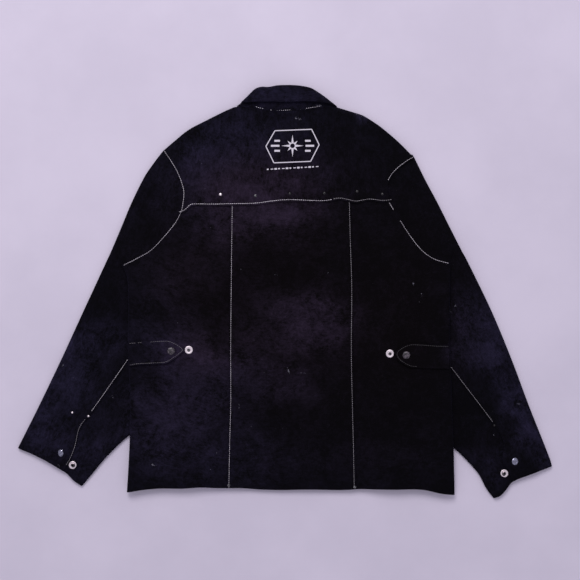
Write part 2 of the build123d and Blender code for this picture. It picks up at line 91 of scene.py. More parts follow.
# A sleeve: outer silhouette, cuff, inner edge, back seam, and the cuff flap's fold and free edge.
SLEEVE = {
    "left": {
        "outside": [(-244, 281), (-266, 252), (-282, 228), (-306, 180), (-326, 132), (-346, 84), (-357, 60),
                    (-402, -36), (-446, -132), (-492, -228), (-534, -312)],
        "cuff": [(-534, -312), (-502, -325), (-470, -341), (-438, -361), (-422, -377), (-406, -388)],
        "inside": [(-406, -388), (-390, -369), (-358, -331), (-326, -299), (-285, -262), (-240, -205),
                   (-208, -120), (-196, -20), (-222, 50)],
        "seam": [(-286, 58), (-281, 0), (-285, -70), (-301, -119), (-312, -136), (-347, -187), (-387, -243)],
        "fold": [(-387, -243), (-446, -287), (-502, -325)],
        "free": [(-387, -243), (-397, -255), (-406, -267), (-411, -280), (-417, -308), (-426, -331),
                 (-434, -345), (-443, -358)],
        "pivot": (-353, 70),
        "down": (-0.51, -0.86),
    },
    "right": {
        "outside": [(259, 267), (278, 228), (304, 180), (328, 132), (352, 84), (366, 58), (412, -36),
                    (452, -132), (488, -228), (526, -324), (534, -348)],
        "cuff": [(534, -348), (517, -354), (485, -366), (461, -375), (450, -383), (442, -394), (430, -407),
                 (417, -412)],
        "inside": [(417, -412), (402, -392), (385, -361), (352, -325), (320, -295), (255, -220), (216, -120),
                   (206, -20), (228, 50)],
        "seam": [(290, 62), (286, 0), (294, -80), (315, -132), (328, -149), (366, -199), (420, -270)],
        "fold": [(420, -270), (455, -310), (490, -364)],
        "free": [(420, -270), (430, -286), (437, -304), (434, -329), (436, -343), (444, -354), (449, -365),
                 (455, -378)],
        "pivot": (357, 71),
        "down": (0.51, -0.86),
    },
}
TAB = {  # root, upper edge, tip, lower edge, and the places of its cap and of the bare stud
    "left": {
        "edge": [(-311, -99), (-279, -97), (-236, -94.5), (-219, -99.5), (-204, -108.5), (-199.5, -116),
                 (-204, -120), (-218, -131.5), (-234, -141), (-250, -143), (-291, -145), (-311, -148)],
        "stitch": [(-309, -102), (-279, -100), (-236, -97.5), (-220, -102), (-205.5, -111), (-202.5, -115.5),
                   (-205.5, -118.5), (-219, -128.5), (-235, -138), (-250, -140), (-291, -142), (-309, -145)],
        "cap": (-225.5, -116.7),
        "stud": (-191, -115),
        "side": 1,
    },
    "right": {
        "edge": [(326, -105), (294, -104), (267, -102), (249, -102), (234, -107), (222, -116), (219, -123),
                 (223, -133.5), (233, -142), (247, -149), (270, -151), (300, -152), (326, -152)],
        "stitch": [(324, -108), (294, -107), (267, -105), (249, -105), (235, -110), (224, -118), (222, -123),
                   (226, -132), (235, -139), (248, -146), (262, -148)],
        "cap": (240.5, -125),
        "stud": (208.4, -122.3),
        "side": -1,
    },
}
YOKE_RIVETS = [(-128.5, 194.5), (-59, 191.5), (9.7, 196), (78.5, 196.8), (143.7, 200.5), (193.7, 194.5)]
PRINT_CENTRE = (15, 291)


# ---------------------------------------------------------------- curves and distances
def smooth(points, spacing=2.6):
    """Points along the curve that passes through points, about spacing apart."""
    p = np.array(points, float)
    p = np.vstack([2 * p[0] - p[1], p, 2 * p[-1] - p[-2]])
    runs = []
    for a, b, c, d in zip(p[:-3], p[1:-2], p[2:-1], p[3:]):
        n = max(1, round(float(np.linalg.norm(c - b)) / spacing))
        t = (np.arange(n) / n)[:, None]
        bend, twist = 2 * a - 5 * b + 4 * c - d, 3 * b - a - 3 * c + d
        runs.append(0.5 * (2 * b + (c - a) * t + bend * t**2 + twist * t**3))
    return np.vstack([*runs, p[-2:-1]])


def loop(*stretches):
    """One closed outline from stretches that meet end to end, without points that nearly coincide."""
    kept = []
    for p in np.vstack(stretches):
        if not kept or np.hypot(*(p - kept[-1])) > 0.9:
            kept.append(p)
    while np.hypot(*(kept[-1] - kept[0])) < 0.9:
        kept.pop()
    return np.array(kept)


def stretch(line, start, end):
    """The part of a polyline between its points nearest to start and end, in that direction."""
    i, j = (int(np.argmin(np.hypot(*(line - p).T))) for p in (start, end))
    return line[i:j + 1] if i <= j else line[j:i + 1][::-1]


def nearest(points, line):
    """Distance from each point to a polyline, and where on it, from 0 to 1, its nearest point is."""
    best = np.full(len(points), 1e9)
    where = np.zeros(len(points))
    last = len(line) - 1
    for i, (a, b) in enumerate(zip(line[:-1], line[1:])):
        run = b - a
        t = np.clip(((points - a) @ run) / max(float(run @ run), 1e-9), 0, 1)
        d = np.hypot(*(points - a - t[:, None] * run).T)
        closer = d < best
        best[closer] = d[closer]
        where[closer] = (i + t[closer]) / last
    return best, where


def distance(points, *lines):
    """Distance from each point to the nearest of some polylines."""
    return np.min([nearest(points, line)[0] for line in lines], axis=0)


def inside(points, outline):
    x, y = points.T
    result = np.zeros(len(points), bool)
    for (x1, y1), (x2, y2) in zip(outline, np.roll(outline, -1, axis=0)):
        if y1 != y2:
            result ^= ((y1 > y) != (y2 > y)) & (x < (x2 - x1) * (y - y1) / (y2 - y1) + x1)
    return result


def step(low, high, value):
    """0 below low, 1 above high, and a smooth ramp between."""
    t = np.clip((value - low) / (high - low), 0, 1)
    return t * t * (3 - 2 * t)


def bell(value, width):
    """1 where value is 0, and fading away over about width."""
    return np.exp(-((value / width) ** 2))


def offset(line, amount):
    """A polyline moved sideways, to its left for a positive amount."""
    run = np.gradient(line, axis=0)
    run /= np.linalg.norm(run, axis=1)[:, None]
    return line + amount * np.column_stack([-run[:, 1], run[:, 0]])


def ripple(seed, shortest, longest, count=16, along=None, spread=math.pi):
    """A smooth random surface of about unit height, made of waves with lengths in the given range."""
    r = np.random.default_rng(seed)
    length = np.exp(r.uniform(math.log(shortest), math.log(longest), count))
    angle = (0 if along is None else along) + r.uniform(-spread, spread, count)
    phase = r.uniform(0, 2 * math.pi, count)
    weight = (length / longest) ** 0.8

    def surface(x, y):
        total = 0
        for w, k, a, p in zip(weight, 2 * math.pi / length, angle, phase):
            total = total + w * np.sin(k * (x * math.cos(a) + y * math.sin(a)) + p)
        return total / math.sqrt(float((weight**2).sum()) / 2) / 1.6

    return surface


# ---------------------------------------------------------------- filling an outline
def fill(outline, pitch=PITCH, rings=(0.7, 1.9, 3.6)):
    """Triangles over a closed outline: a triangular grid inside, and rows of points next to the edge."""
    low, high = outline.min(0), outline.max(0)
    rows = np.arange(low[1], high[1], pitch * 0.866)
    columns = np.arange(low[0], high[0] + pitch, pitch)
    grid = np.array([(x + (i % 2) * pitch / 2, y) for i, y in enumerate(rows) for x in columns])
    grid = grid[inside(grid, outline)]
    closed = np.vstack([outline, outline[:1]])
    grid = grid[distance(grid, closed) > rings[-1] + 0.55 * pitch]
    points = [outline]
    ahead, behind = np.roll(outline, -1, axis=0), np.roll(outline, 1, axis=0)
    run = ahead - behind
    run /= np.maximum(np.linalg.norm(run, axis=1), 1e-9)[:, None]
    turn = 1 if np.sum(outline[:, 0] * ahead[:, 1] - ahead[:, 0] * outline[:, 1]) > 0 else -1
    inward = turn * np.column_stack([-run[:, 1], run[:, 0]])
    for r in rings:
        ring = outline + inward * r
        keep = inside(ring, outline)
        keep[keep] = distance(ring[keep], closed) > 0.93 * r
        points.append(ring[keep])
    points.append(grid)
    every = np.vstack(points)
    border = list(range(len(outline)))
    found = delaunay_2d_cdt([Vector(p) for p in every.tolist()], [], [border], 1, 1e-3)
    return np.array([tuple(v) for v in found[0]]), np.array(found[2])


# ---------------------------------------------------------------- materials
class Shader:
    """A node material, built one node at a time.  An input is a plain value or another node's socket."""

    def __init__(self, name):
        self.material = bpy.data.materials.new(name)
        self.material.use_nodes = True
        self.tree = self.material.node_tree
        self.surface = next(n for n in self.tree.nodes if n.type == "BSDF_PRINCIPLED")
        self.place = self.node("ShaderNodeTexCoord").outputs["Object"]

    def node(self, kind, settings=None, **inputs):
        made = self.tree.nodes.new(kind)
        for key, value in (settings or {}).items():
            setattr(made, key, value)
        for key, value in inputs.items():
            self.plug(made.inputs[int(key[1:]) if key[0] == "_" else key.replace("_", " ")], value)
        return made

    def plug(self, socket, value):
        if isinstance(value, bpy.types.NodeSocket):
            self.tree.links.new(value, socket)
        else:
            socket.default_value = value

    def math(self, operation, a, b=0.0, clamp=False):
        return self.node("ShaderNodeMath", {"operation": operation, "use_clamp": clamp}, _0=a,
                         _1=b).outputs[0]

    def plus(self, a, b, clamp=False):
        return self.math("ADD", a, b, clamp)

    def times(self, a, b):
        return self.math("MULTIPLY", a, b)

    def centred(self, value, strength):
        """A value that averages a half, moved to average zero and made stronger."""
        return self.times(self.math("SUBTRACT", value, 0.5), strength)

    def noise(self, scale, detail=4.0, roughness=0.6, stretch=None, distortion=0.0):
        """Noise with features about 1/scale metres across, from 0 to 1.  stretch scales X, Y and Z."""
        place = self.place
        if stretch:
            place = self.node("ShaderNodeMapping", Vector=place, Scale=stretch).outputs[0]
        made = self.node("ShaderNodeTexNoise", Vector=place, Scale=scale, Detail=detail, Roughness=roughness,
                         Distortion=distortion)
        return made.outputs["Fac"]

    def ramp(self, value, low, high, to_low=0.0, to_high=1.0):
        made = self.node("ShaderNodeMapRange", {"interpolation_type": "SMOOTHSTEP"}, Value=value, _1=low,
                         _2=high,
                         _3=to_low, _4=to_high)
        return made.outputs[0]

    def mix(self, factor, a, b):
        made = self.node("ShaderNodeMix", {"data_type": "RGBA"}, _0=factor, _6=a, _7=b)
        return made.outputs[2]

    def attribute(self, name):
        return self.node("ShaderNodeAttribute", {"attribute_name": name}).outputs["Fac"]

    def bump(self, height, strength, depth):
        made = self.node("ShaderNodeBump", Strength=strength, Distance=depth, Height=height)
        self.plug(self.surface.inputs["Normal"], made.outputs[0])

    def set(self, **inputs):
        for key, value in inputs.items():
            self.plug(self.surface.inputs[key.replace("_", " ")], value)
        return self.material


def suede():
    """Black split cowhide: cloudy where the nap is rubbed, with streaks, scuffs and specks of dust, and
    painted highlights on the collar roll, the right shoulder edge and the right sleeve's outer fold.
    """
    s = Shader("black_suede")
    s.place = s.node("ShaderNodeAttribute", {"attribute_name": "hide"}).outputs["Vector"]
    patches = s.noise(21, 9, 0.76, distortion=0.7)
    streaks = s.noise(75, 6, 0.75, stretch=(1.0, 3.6, 1.0), distortion=0.6)
    fine = s.noise(130, 6, 0.82, distortion=0.5)
    veins = s.noise(16, 5, 0.62, distortion=1.1)
    veins = s.math("ABSOLUTE", s.math("SUBTRACT", veins, 0.5))
    veins = s.ramp(veins, 0.0, 0.035, 1.0, 0.0)
    nap = s.noise(700, 3, 0.7, stretch=(1.0, 2.4, 1.0))
    # the rubbed attribute also holds painted highlights on the collar roll, the right shoulder edge and the
    # right sleeve's outer fold
    rubbed = s.attribute("rubbed")
    reach = s.ramp(rubbed, 0, 0.6, 0.2, 1.0)
    uneven = s.centred(patches, 1.9)
    brushed = s.centred(streaks, 1.1)
    grain = s.centred(fine, 1.7)
    worn = s.times(s.times(veins, fine), 0.3)
    broken = s.plus(s.plus(s.plus(uneven, brushed), grain), worn)
    light = s.plus(s.times(rubbed, 0.62), s.times(broken, reach))
    light = s.plus(light, s.centred(nap, 0.22), clamp=True)
    tinted = s.mix(s.attribute("plum"), (0.0172, 0.0148, 0.0350, 1), (0.0240, 0.0160, 0.0315, 1))
    dark = s.mix(s.attribute("plum"), (0.0020, 0.0018, 0.0028, 1), (0.0024, 0.0017, 0.0023, 1))
    colour = s.mix(light, dark, tinted)
    blotches = s.centred(s.noise(300, 4, 0.7), 2.6)
    # the scuff attribute also holds a painted highlight along the right shoulder edge
    scuffed = s.ramp(s.plus(s.attribute("scuff"), blotches), 0.52, 0.86)
    colour = s.mix(scuffed, colour, (0.125, 0.12, 0.15, 1))
    dust = s.ramp(s.noise(560, 2, 0.4), 0.78, 0.84, 0.0, 0.3)
    colour = s.mix(dust, colour, (0.10, 0.095, 0.12, 1))
    relief = s.plus(s.times(nap, 0.6), s.math("SUBTRACT", fine, s.times(veins, 0.25)))
    s.bump(relief, 0.75, 0.0014)
    return s.set(Base_Color=colour, Roughness=0.95, Specular_IOR_Level=0.045, Sheen_Weight=0.035,
                 Sheen_Roughness=0.35, Sheen_Tint=(0.42, 0.36, 0.85, 1))


def thread(name, k):
    """White thread, k times as light as clean cotton."""
    s = Shader(name)
    soiled = s.ramp(s.noise(70, 4, 0.7), 0.35, 0.7)
    colour = s.mix(soiled, (0.52 * k, 0.48 * k, 0.53 * k, 1), (0.90 * k, 0.85 * k, 0.92 * k, 1))
    s.bump(s.noise(2600, 2, 0.5), 0.5, 0.0003)
    return s.set(Base_Color=colour, Roughness=0.75, Specular_IOR_Level=0.3)


def nickel():
    s = Shader("bright_nickel")
    tarnish = s.noise(900, 4, 0.6)
    colour = s.mix(s.ramp(tarnish, 0.35, 0.75), (0.88, 0.80, 0.83, 1), (0.68, 0.60, 0.63, 1))
    s.bump(s.noise(2400, 3, 0.6), 0.12, 0.0002)
    return s.set(Base_Color=colour, Metallic=1.0, Roughness=s.ramp(tarnish, 0.3, 0.8, 0.38, 0.56))


def black_enamel():
    """Black lacquer on a snap cap, rubbed down to the metal in patches."""
    s = Shader("worn_black_lacquer")
    bare = s.ramp(s.noise(420, 5, 0.72, distortion=0.6), 0.52, 0.62)
    colour = s.mix(bare, (0.025, 0.025, 0.03, 1), (0.42, 0.41, 0.42, 1))
    s.bump(bare, 0.25, 0.0002)
    return s.set(Base_Color=colour, Metallic=bare, Roughness=s.ramp(s.noise(700, 3), 0.3, 0.8, 0.22, 0.45))


def cap_paint(name, dark, light, rubbed, roughness, metallic=0.0, ior=1.5):
    """Paint on a snap or rivet, speckled where it is rubbed.  rubbed and roughness are each low and high."""
    s = Shader(name)
    bare = s.ramp(s.noise(300, 6, 0.75, distortion=0.4), *rubbed)
    s.bump(bare, 0.3, 0.0002)
    return s.set(Base_Color=s.mix(bare, dark, light), Metallic=metallic, IOR=ior,
                 Roughness=s.ramp(s.noise(500, 3), 0.3, 0.8, *roughness))


def cotton():
    s = Shader("natural_cotton")
    warp, weft = (s.noise(900, 2, 0.5, stretch=along) for along in ((1, 0.12, 1), (0.12, 1, 1)))
    weave = s.times(warp, weft)
    colour = s.mix(s.ramp(weave, 0.15, 0.4), (0.09, 0.085, 0.08, 1), (0.17, 0.16, 0.15, 1))
    s.bump(weave, 0.5, 0.0004)
    return s.set(Base_Color=colour, Roughness=0.9, Specular_IOR_Level=0.2)


def ink():
    """Off-white print, cracked and rubbed through by wear."""
    s = Shader("worn_white_print")
    worn = s.ramp(s.noise(700, 5, 0.75), 0.6, 0.68)
    rubbed = s.ramp(s.noise(90, 5, 0.7), 0.62, 0.76)
    gone = s.math("MAXIMUM", worn, s.times(rubbed, 0.6))
    colour = s.mix(gone, (0.60, 0.57, 0.63, 1), (0.03, 0.027, 0.036, 1))
    s.bump(s.noise(900, 4, 0.7), 0.4, 0.0003)
    return s.set(Base_Color=colour, Roughness=0.85, Specular_IOR_Level=0.2)


def floor_paint():
    s = Shader("pale_floor")
    mottle = s.ramp(s.noise(3.2, 6, 0.6), 0.3, 0.7)
    colour = s.mix(mottle, (0.585, 0.54, 0.645, 1), (0.64, 0.59, 0.70, 1))
    return s.set(Base_Color=colour, Roughness=0.9, Specular_IOR_Level=0.2)


SUEDE = suede()
THREAD = {"clean": thread("white_thread", 0.88), "soiled": thread("soiled_thread", 0.70),
          "grey": thread("grey_thread", 0.38), "dim": thread("dim_thread", 0.22),
          "dark": thread("dark_thread", 0.09)}
NICKEL = nickel()
LACQUER = black_enamel()
INK = ink()
COTTON = cotton()
CAP_PAINT = cap_paint("rubbed_black_cap", (0.006, 0.005, 0.008, 1), (0.105, 0.085, 0.105, 1), (0.44, 0.6),
                      (0.3, 0.5))
GREY_PAINT = cap_paint("rubbed_grey_cap", (0.12, 0.12, 0.16, 1), (0.42, 0.42, 0.54, 1), (0.4, 0.62),
                       (0.2, 0.32), 1.0)
RIVET_PAINT = cap_paint("dull_black_rivet", (0.004, 0.0035, 0.005, 1), (0.03, 0.022, 0.028, 1), (0.5, 0.66),
                        (0.25, 0.4), 0.0, 1.4)
WANDER = (ripple(8, 40, 130), ripple(9, 40, 130))  # they bend the edges of the rubbed patches

# Where the nap is rubbed, with a few painted highlights where folds face the light: centre, half-widths, turn
# in degrees, and how much.
RUBBED_AND_LIT = [
    # yoke and collar
    (-110, 232, 90, 70, 0, 0.55), (-60, 205, 90, 30, 0, 0.35), (-175, 250, 50, 60, 20, 0.3),
    (-30, 300, 90, 70, 0, 0.3), (30, 215, 60, 40, 0, 0.25), (90, 290, 90, 60, 0, 0.12),
    # (0, 396) on the collar roll and (146, 353) on the right shoulder edge are painted highlights, not wear
    (0, 396, 120, 26, 0, 0.62), (-120, 335, 60, 40, 25, 0.3), (146, 353, 40, 9, -28, 0.55),
    (150, 215, 60, 40, 0, 0.12),
    # centre panel
    (-10, 158, 60, 24, 0, 0.75), (-80, 150, 40, 50, 0, 0.35), (60, 150, 50, 30, 0, 0.25),
    (0, 110, 100, 30, 0, 0.22), (30, -70, 100, 60, 0, 0.34), (70, -95, 55, 34, 0, 0.36),
    (20, -190, 50, 40, 0, 0.32), (-60, -150, 60, 60, 0, 0.2), (10, -20, 100, 50, 0, 0.15),
    (90, -45, 50, 24, 0, 0.25), (10, -60, 140, 90, 0, 0.08),
    # left panel
    (-175, -135, 90, 40, -18, 0.7), (-210, -215, 110, 70, 18, 0.6), (-250, -300, 90, 90, 0, 0.4),
    (-230, -90, 90, 60, 0, 0.2), (-150, 140, 60, 50, -24, 0.35), (-250, 20, 70, 70, 0, 0.22),
    (-170, 50, 80, 50, 0, 0.14), (-140, -330, 60, 80, 0, 0.22),
    # right panel
    (170, 120, 60, 60, 0, 0.04), (210, -330, 160, 60, 0, 0.06), (60, -340, 180, 60, 0, 0.12),
    (-60, -330, 80, 60, 0, 0.2),
    # sleeves
    (410, -45, 40, 60, 22, 0.35), (385, -100, 40, 50, 0, 0.5), (350, -50, 24, 60, 0, 0.38),
    (420, -120, 34, 34, 0, 0.45), (463, -232, 24, 66, 22, 0.85), (480, -310, 50, 40, 0, 0.25),
    # (505, -285) and (455, -120) are painted highlights along the right sleeve's outer fold, not wear
    (402, -345, 34, 50, 0, 0.32), (352, -150, 30, 40, 0, 0.1), (505, -285, 12, 80, 21, 0.5),
    (455, -120, 12, 110, 21, 0.4), (-452, -160, 46, 80, -24, 0.55), (-490, -270, 50, 60, 0, 0.6),
    (-410, -110, 40, 60, -24, 0.35), (-385, -310, 40, 60, 0, 0.26), (-430, -330, 50, 50, 0, 0.32),
    (-352, -100, 30, 60, 0, 0.22), (-410, -200, 40, 40, 0, 0.35), (-300, 170, 26, 110, -24, 0.16),
    (300, 150, 26, 110, 24, 0.06), (-240, 200, 20, 60, 0, 0.16),
]
PLUM = [(-90, 210, 110, 60, 0, 0.8), (0, 150, 130, 90, 0, 0.9), (20, -80, 150, 120, 0, 0.95),
        (-60, 30, 150, 120, 0, 0.8), (-215, 40, 110, 110, 0, 0.6), (-220, -230, 120, 110, 0, 0.35),
        (235, -60, 120, 260, 0, 0.9), (60, -330, 200, 80, 0, 0.3), (-170, -120, 70, 50, 0, 0.5),
        (20, -220, 120, 70, 0, 0.4), (60, 250, 110, 60, 0, 0.3)]
SCUFFS_AND_HIGHLIGHT = [
    (23, 346, 5, 3.5, 0, 0.72), (31, 343, 4, 4, 0, 0.62), (-145, 129, 5, 5, 0, 0.5), (-91, 46, 9, 4, 0, 0.42),
    (-19, 35, 7, 3, 0, 0.42), (87, 39, 7, 5, 0, 0.4), (255, 16, 3, 5, 20, 0.62), (272, -6, 3, 6, 20, 0.66),
    (268, -20, 4, 2.4, 0, 0.58), (7, -157, 2.4, 7, 20, 0.95), (-41, -161, 5, 2.4, 0, 0.6),
    (-91, -228, 3, 7, 0, 0.62), (-263, -344, 8, 3, -15, 0.72), (-148, -353, 7, 2.4, 12, 0.6),
    (-135, -320, 3, 3, 0, 0.6), (-11, -272, 7, 2.4, 0, 0.6), (88, -263, 3, 3, 0, 0.6),
    (-67, -268, 2.4, 2.4, 0, 0.6), (31, -271, 2.4, 2.4, 0, 0.5), (466, -223, 3.4, 3.4, 0, 0.8),
    (340, -28, 4, 3, 0, 0.75), (-443, -146, 3.4, 4, 0, 0.6), (-344, -208, 3, 6, 0, 0.5),
    (-452, -347, 4, 5, 0, 0.66), (417, -286, 3, 4, 0, 0.66), (-104, 118, 4, 4, 0, 0.4),
    (31, -162, 14, 1.8, 4, 0.5), (68, 371, 12, 2.6, 6, 0.72), (-50, 368, 9, 2, -10, 0.5),
    # (145, 353) is a painted highlight along the right shoulder edge, not a scuff
    (145, 353, 14, 2.4, -28, 0.6), (-40, 330, 20, 3, 80, 0.35), (-170, 262, 3, 14, 30, 0.42),
    (-160, 205, 3, 16, -20, 0.36), (-210, -60, 14, 2.4, 10, 0.42), (60, -60, 3, 3, 0, 0.5),
    (214, -98, 3, 3, 0, 0.4), (-60, -96, 3, 3, 0, 0.45), (-420, -171, 4, 4, 0, 0.4),
    (330, -40, 3, 8, 10, 0.5),
]


def spots(points, table):
    """How much of the spots in a table covers each point."""
    total = np.zeros(len(points))
    for x, y, wide, high, turn, amount in table:
        c, s = math.cos(math.radians(turn)), math.sin(math.radians(turn))
        u = ((points[:, 0] - x) * c + (points[:, 1] - y) * s) / wide
        v = ((points[:, 1] - y) * c - (points[:, 0] - x) * s) / high
        total += amount * np.exp(-(u * u + v * v))
    return total


def paint_wear_and_highlights(mesh, points, turn, depth):
    """Store where the leather is rubbed, scuffed and faded to plum, with painted highlights among the rubbed
    and scuffed spots, and which way its hide lies.
    """
    x, y = points.T
    bent = points + 15 * np.column_stack([wave(x, y) for wave in WANDER])
    layers = {
        "rubbed": np.clip(spots(bent, RUBBED_AND_LIT), 0, 1.5),
        "scuff": np.clip(spots(points, SCUFFS_AND_HIGHLIGHT), 0, 1),
        "plum": np.clip(spots(points, PLUM), 0, 1),
    }
    c, s = math.cos(math.radians(turn)), math.sin(math.radians(turn))
    hide = np.column_stack([c * x + s * y, c * y - s * x, np.full(len(x), depth)]) * MM
    mesh.attributes.new("hide", "FLOAT_VECTOR", "POINT").data.foreach_set("vector",
                                                                          hide.astype(np.float32).ravel())
    for name, values in layers.items():
        mesh.attributes.new(name, "FLOAT", "POINT").data.foreach_set("value", values.astype(np.float32))


# ---------------------------------------------------------------- lines used by more than one sheet
side_line = {s: smooth(SIDE[s]) for s in SIDE}
shoulder_line = {s: smooth(SHOULDER[s]) for s in SHOULDER}
armhole_line = {s: smooth(ARMHOLE[s]) for s in ARMHOLE}
hem_line = smooth(HEM)
neck_line = smooth(NECK)
yoke_line = smooth(YOKE_SEAM)
back_seam_line = {s: smooth(BACK_SEAM[s]) for s in BACK_SEAM}
curled_edges = [*side_line.values(), *shoulder_line.values()]
seams = [yoke_line, *back_seam_line.values(), *armhole_line.values()]
body_outline = loop(neck_line, shoulder_line["right"], armhole_line["right"], side_line["right"],
                    hem_line[::-1],
                    side_line["left"][::-1], armhole_line["left"][::-1], shoulder_line["left"][::-1])
BODY_MIDDLE = 10.0  # X of the jacket's centre line


# ---------------------------------------------------------------- heights
def rounded(d, radius):
    """How far a folded edge has risen, from 0 at the edge to 1 at radius from it."""
    return np.sqrt(1 - (1 - np.clip(d / radius, 0, 1)) ** 2)


slow_waves = ripple(3, 90, 330)
quick_waves = ripple(4, 26, 70, along=0.2)
pucker_waves = ripple(5, 9, 17, count=22)
sleeve_waves = ripple(6, 60, 190)
sleeve_quick = ripple(7, 20, 55, along=0.5)

# Creases: a line of points, how deep it is (minus is a ridge) and how wide.
BODY_CREASES = [
    ([(-243, 118), (-200, 105), (-160, 92), (-108, 74)], 0.9, 5),
    ([(-232, 122), (-205, 108), (-175, 88), (-150, 78)], 0.7, 4),
    ([(-215, 118), (-190, 96), (-172, 70), (-160, 40)], -0.7, 6),
    ([(-248, 100), (-244, 60), (-250, 20)], 0.6, 6),
    ([(-186, 128), (-170, 100), (-158, 82)], 0.6, 4),
    ([(30, 96), (55, 86), (80, 84), (104, 95)], 0.8, 5),
    ([(-98, 134), (-40, 128), (10, 131), (60, 127), (120, 133)], 0.6, 6),
    ([(-60, 112), (-20, 106), (30, 110)], 0.5, 5),
    ([(-188, -113), (-150, -122), (-112, -130)], 1.0, 6),
    ([(-190, -124), (-155, -138), (-112, -140)], -0.8, 5),
    ([(-104, -62), (-40, -70), (30, -64), (128, -74)], 0.7, 7),
    ([(-104, -106), (-30, -112), (60, -104), (130, -114)], 0.6, 6),
    ([(-20, -130), (40, -138), (126, -130)], -0.6, 6),
    ([(-300, -205), (-240, -190), (-180, -165), (-120, -150)], 0.6, 8),
    ([(-296, -240), (-230, -222), (-150, -210)], -0.6, 8),
    ([(-150, 226), (-120, 232), (-90, 238)], 0.5, 4),
    ([(-200, 238), (-180, 218), (-170, 196)], 0.6, 6),
    ([(205, 226), (190, 212), (172, 204)], 0.8, 6),
    ([(207, 242), (201, 224), (197, 204), (200, 188)], 1.5, 5),
    ([(228, 130), (205, 112), (190, 80)], 0.8, 7),
    ([(250, 108), (236, 80), (232, 40)], 0.6, 7),
    ([(205, -125), (180, -134), (140, -138)], 0.8, 6),
    ([(-312, -52), (-270, -60), (-225, -72)], 0.6, 8),
    ([(326, -60), (285, -66), (250, -80)], 0.6, 8),
]
SLEEVE_CREASES = {
    "left": [
        ([(-338, 100), (-312, 92), (-284, 92)], 0.9, 7),
        ([(-350, 70), (-334, 58), (-326, 44)], 1.0, 7),
        ([(-228, 245), (-222, 215), (-219, 185), (-228, 160)], 1.6, 8),
        ([(-240, 235), (-236, 200), (-242, 165), (-262, 130)], -1.5, 9),
        ([(-258, 232), (-258, 190), (-270, 150)], 1.0, 8),
        ([(-380, 6), (-352, -18), (-322, -30)], 1.0, 8),
        ([(-404, -48), (-376, -66), (-338, -70)], 1.0, 9),
        ([(-420, -90), (-388, -98), (-350, -92)], -1.0, 9),
        ([(-436, -124), (-408, -134), (-372, -128)], 0.9, 8),
        ([(-462, -176), (-428, -178), (-398, -166)], 0.8, 8),
        ([(-392, -230), (-366, -236), (-340, -228)], 0.6, 7),
        ([(-500, -262), (-476, -250), (-452, -248)], -0.7, 8),
    ],
    "right": [
        ([(344, 98), (318, 92), (292, 96)], 0.9, 7),
        ([(356, 72), (342, 60), (331, 46)], 1.0, 7),
        ([(228, 232), (216, 208), (219, 182), (236, 156)], 1.8, 8),
        ([(244, 236), (234, 205), (240, 175), (256, 146)], -1.6, 9),
        ([(266, 224), (258, 190), (268, 150)], 1.0, 8),
        ([(390, 4), (362, -20), (334, -30)], 1.0, 8),
        ([(410, -50), (378, -64), (342, -60)], 1.1, 9),
        ([(424, -92), (392, -102), (350, -88)], -1.1, 9),
        ([(442, -132), (410, -138), (372, -118)], 1.0, 8),
        ([(452, -170), (444, -210), (450, -256)], 0.9, 9),
        ([(470, -232), (462, -270), (470, -306)], -0.8, 9),
        ([(400, -226), (380, -246), (352, -250)], 0.6, 7),
    ],
}


def creases(points, table):
    total = np.zeros(len(points))
    for path, depth, width in table:
        line = smooth(path, 5)
        d, along = nearest(points, line)
        total -= depth * bell(d, width) * np.sin(np.pi * np.clip(along, 0.04, 0.96)) ** 0.7
    return total


def back_height(points):
    """Upper face of the back."""
    x, y = points.T
    out = np.abs(x - BODY_MIDDLE)
    lift = step(135, 205, out) * (1 - step(10, 200, y))
    edge = distance(points, *curled_edges)
    arm = distance(points, *armhole_line.values())
    full = 14.5 + 6.0 * lift + 3.6 * bell(arm, 38) * (1 - lift) + 2.0 * bell(y - 368, 30)
    full = full + 1.1 * slow_waves(x, y) + 0.4 * quick_waves(x, y)
    to_hem = np.clip(y + 395, 0, None)
    full = full - 2.6 * np.exp(-to_hem / 45) + 0.8 * np.exp(-to_hem / 30) * np.sin(x / 31)
    seam = distance(points, *seams)
    full = full + 0.42 * bell(seam, 9) * pucker_waves(x, y) - 0.7 * bell(seam, 2.2)
    full = full + creases(points, BODY_CREASES)
    low = 13.2 - 4.5 * step(30, 230, y)
    return low + (full - low) * rounded(edge, 11)


def front_height(points):
    """Lower face of the fronts."""
    x, y = points.T
    out = np.abs(x - BODY_MIDDLE)
    lift = step(140, 192, out) * (1 - step(40, 250, y))
    edge = distance(points, *curled_edges)
    full = 0.3 + (OVER_SLEEVE - 0.3) * lift
    low = 11.9 - 4.2 * step(30, 230, y)
    return low + (full - low) * rounded(edge, 8)


def sleeve_folds(side):
    return [smooth(SLEEVE[side][edge]) for edge in ("outside", "inside")]


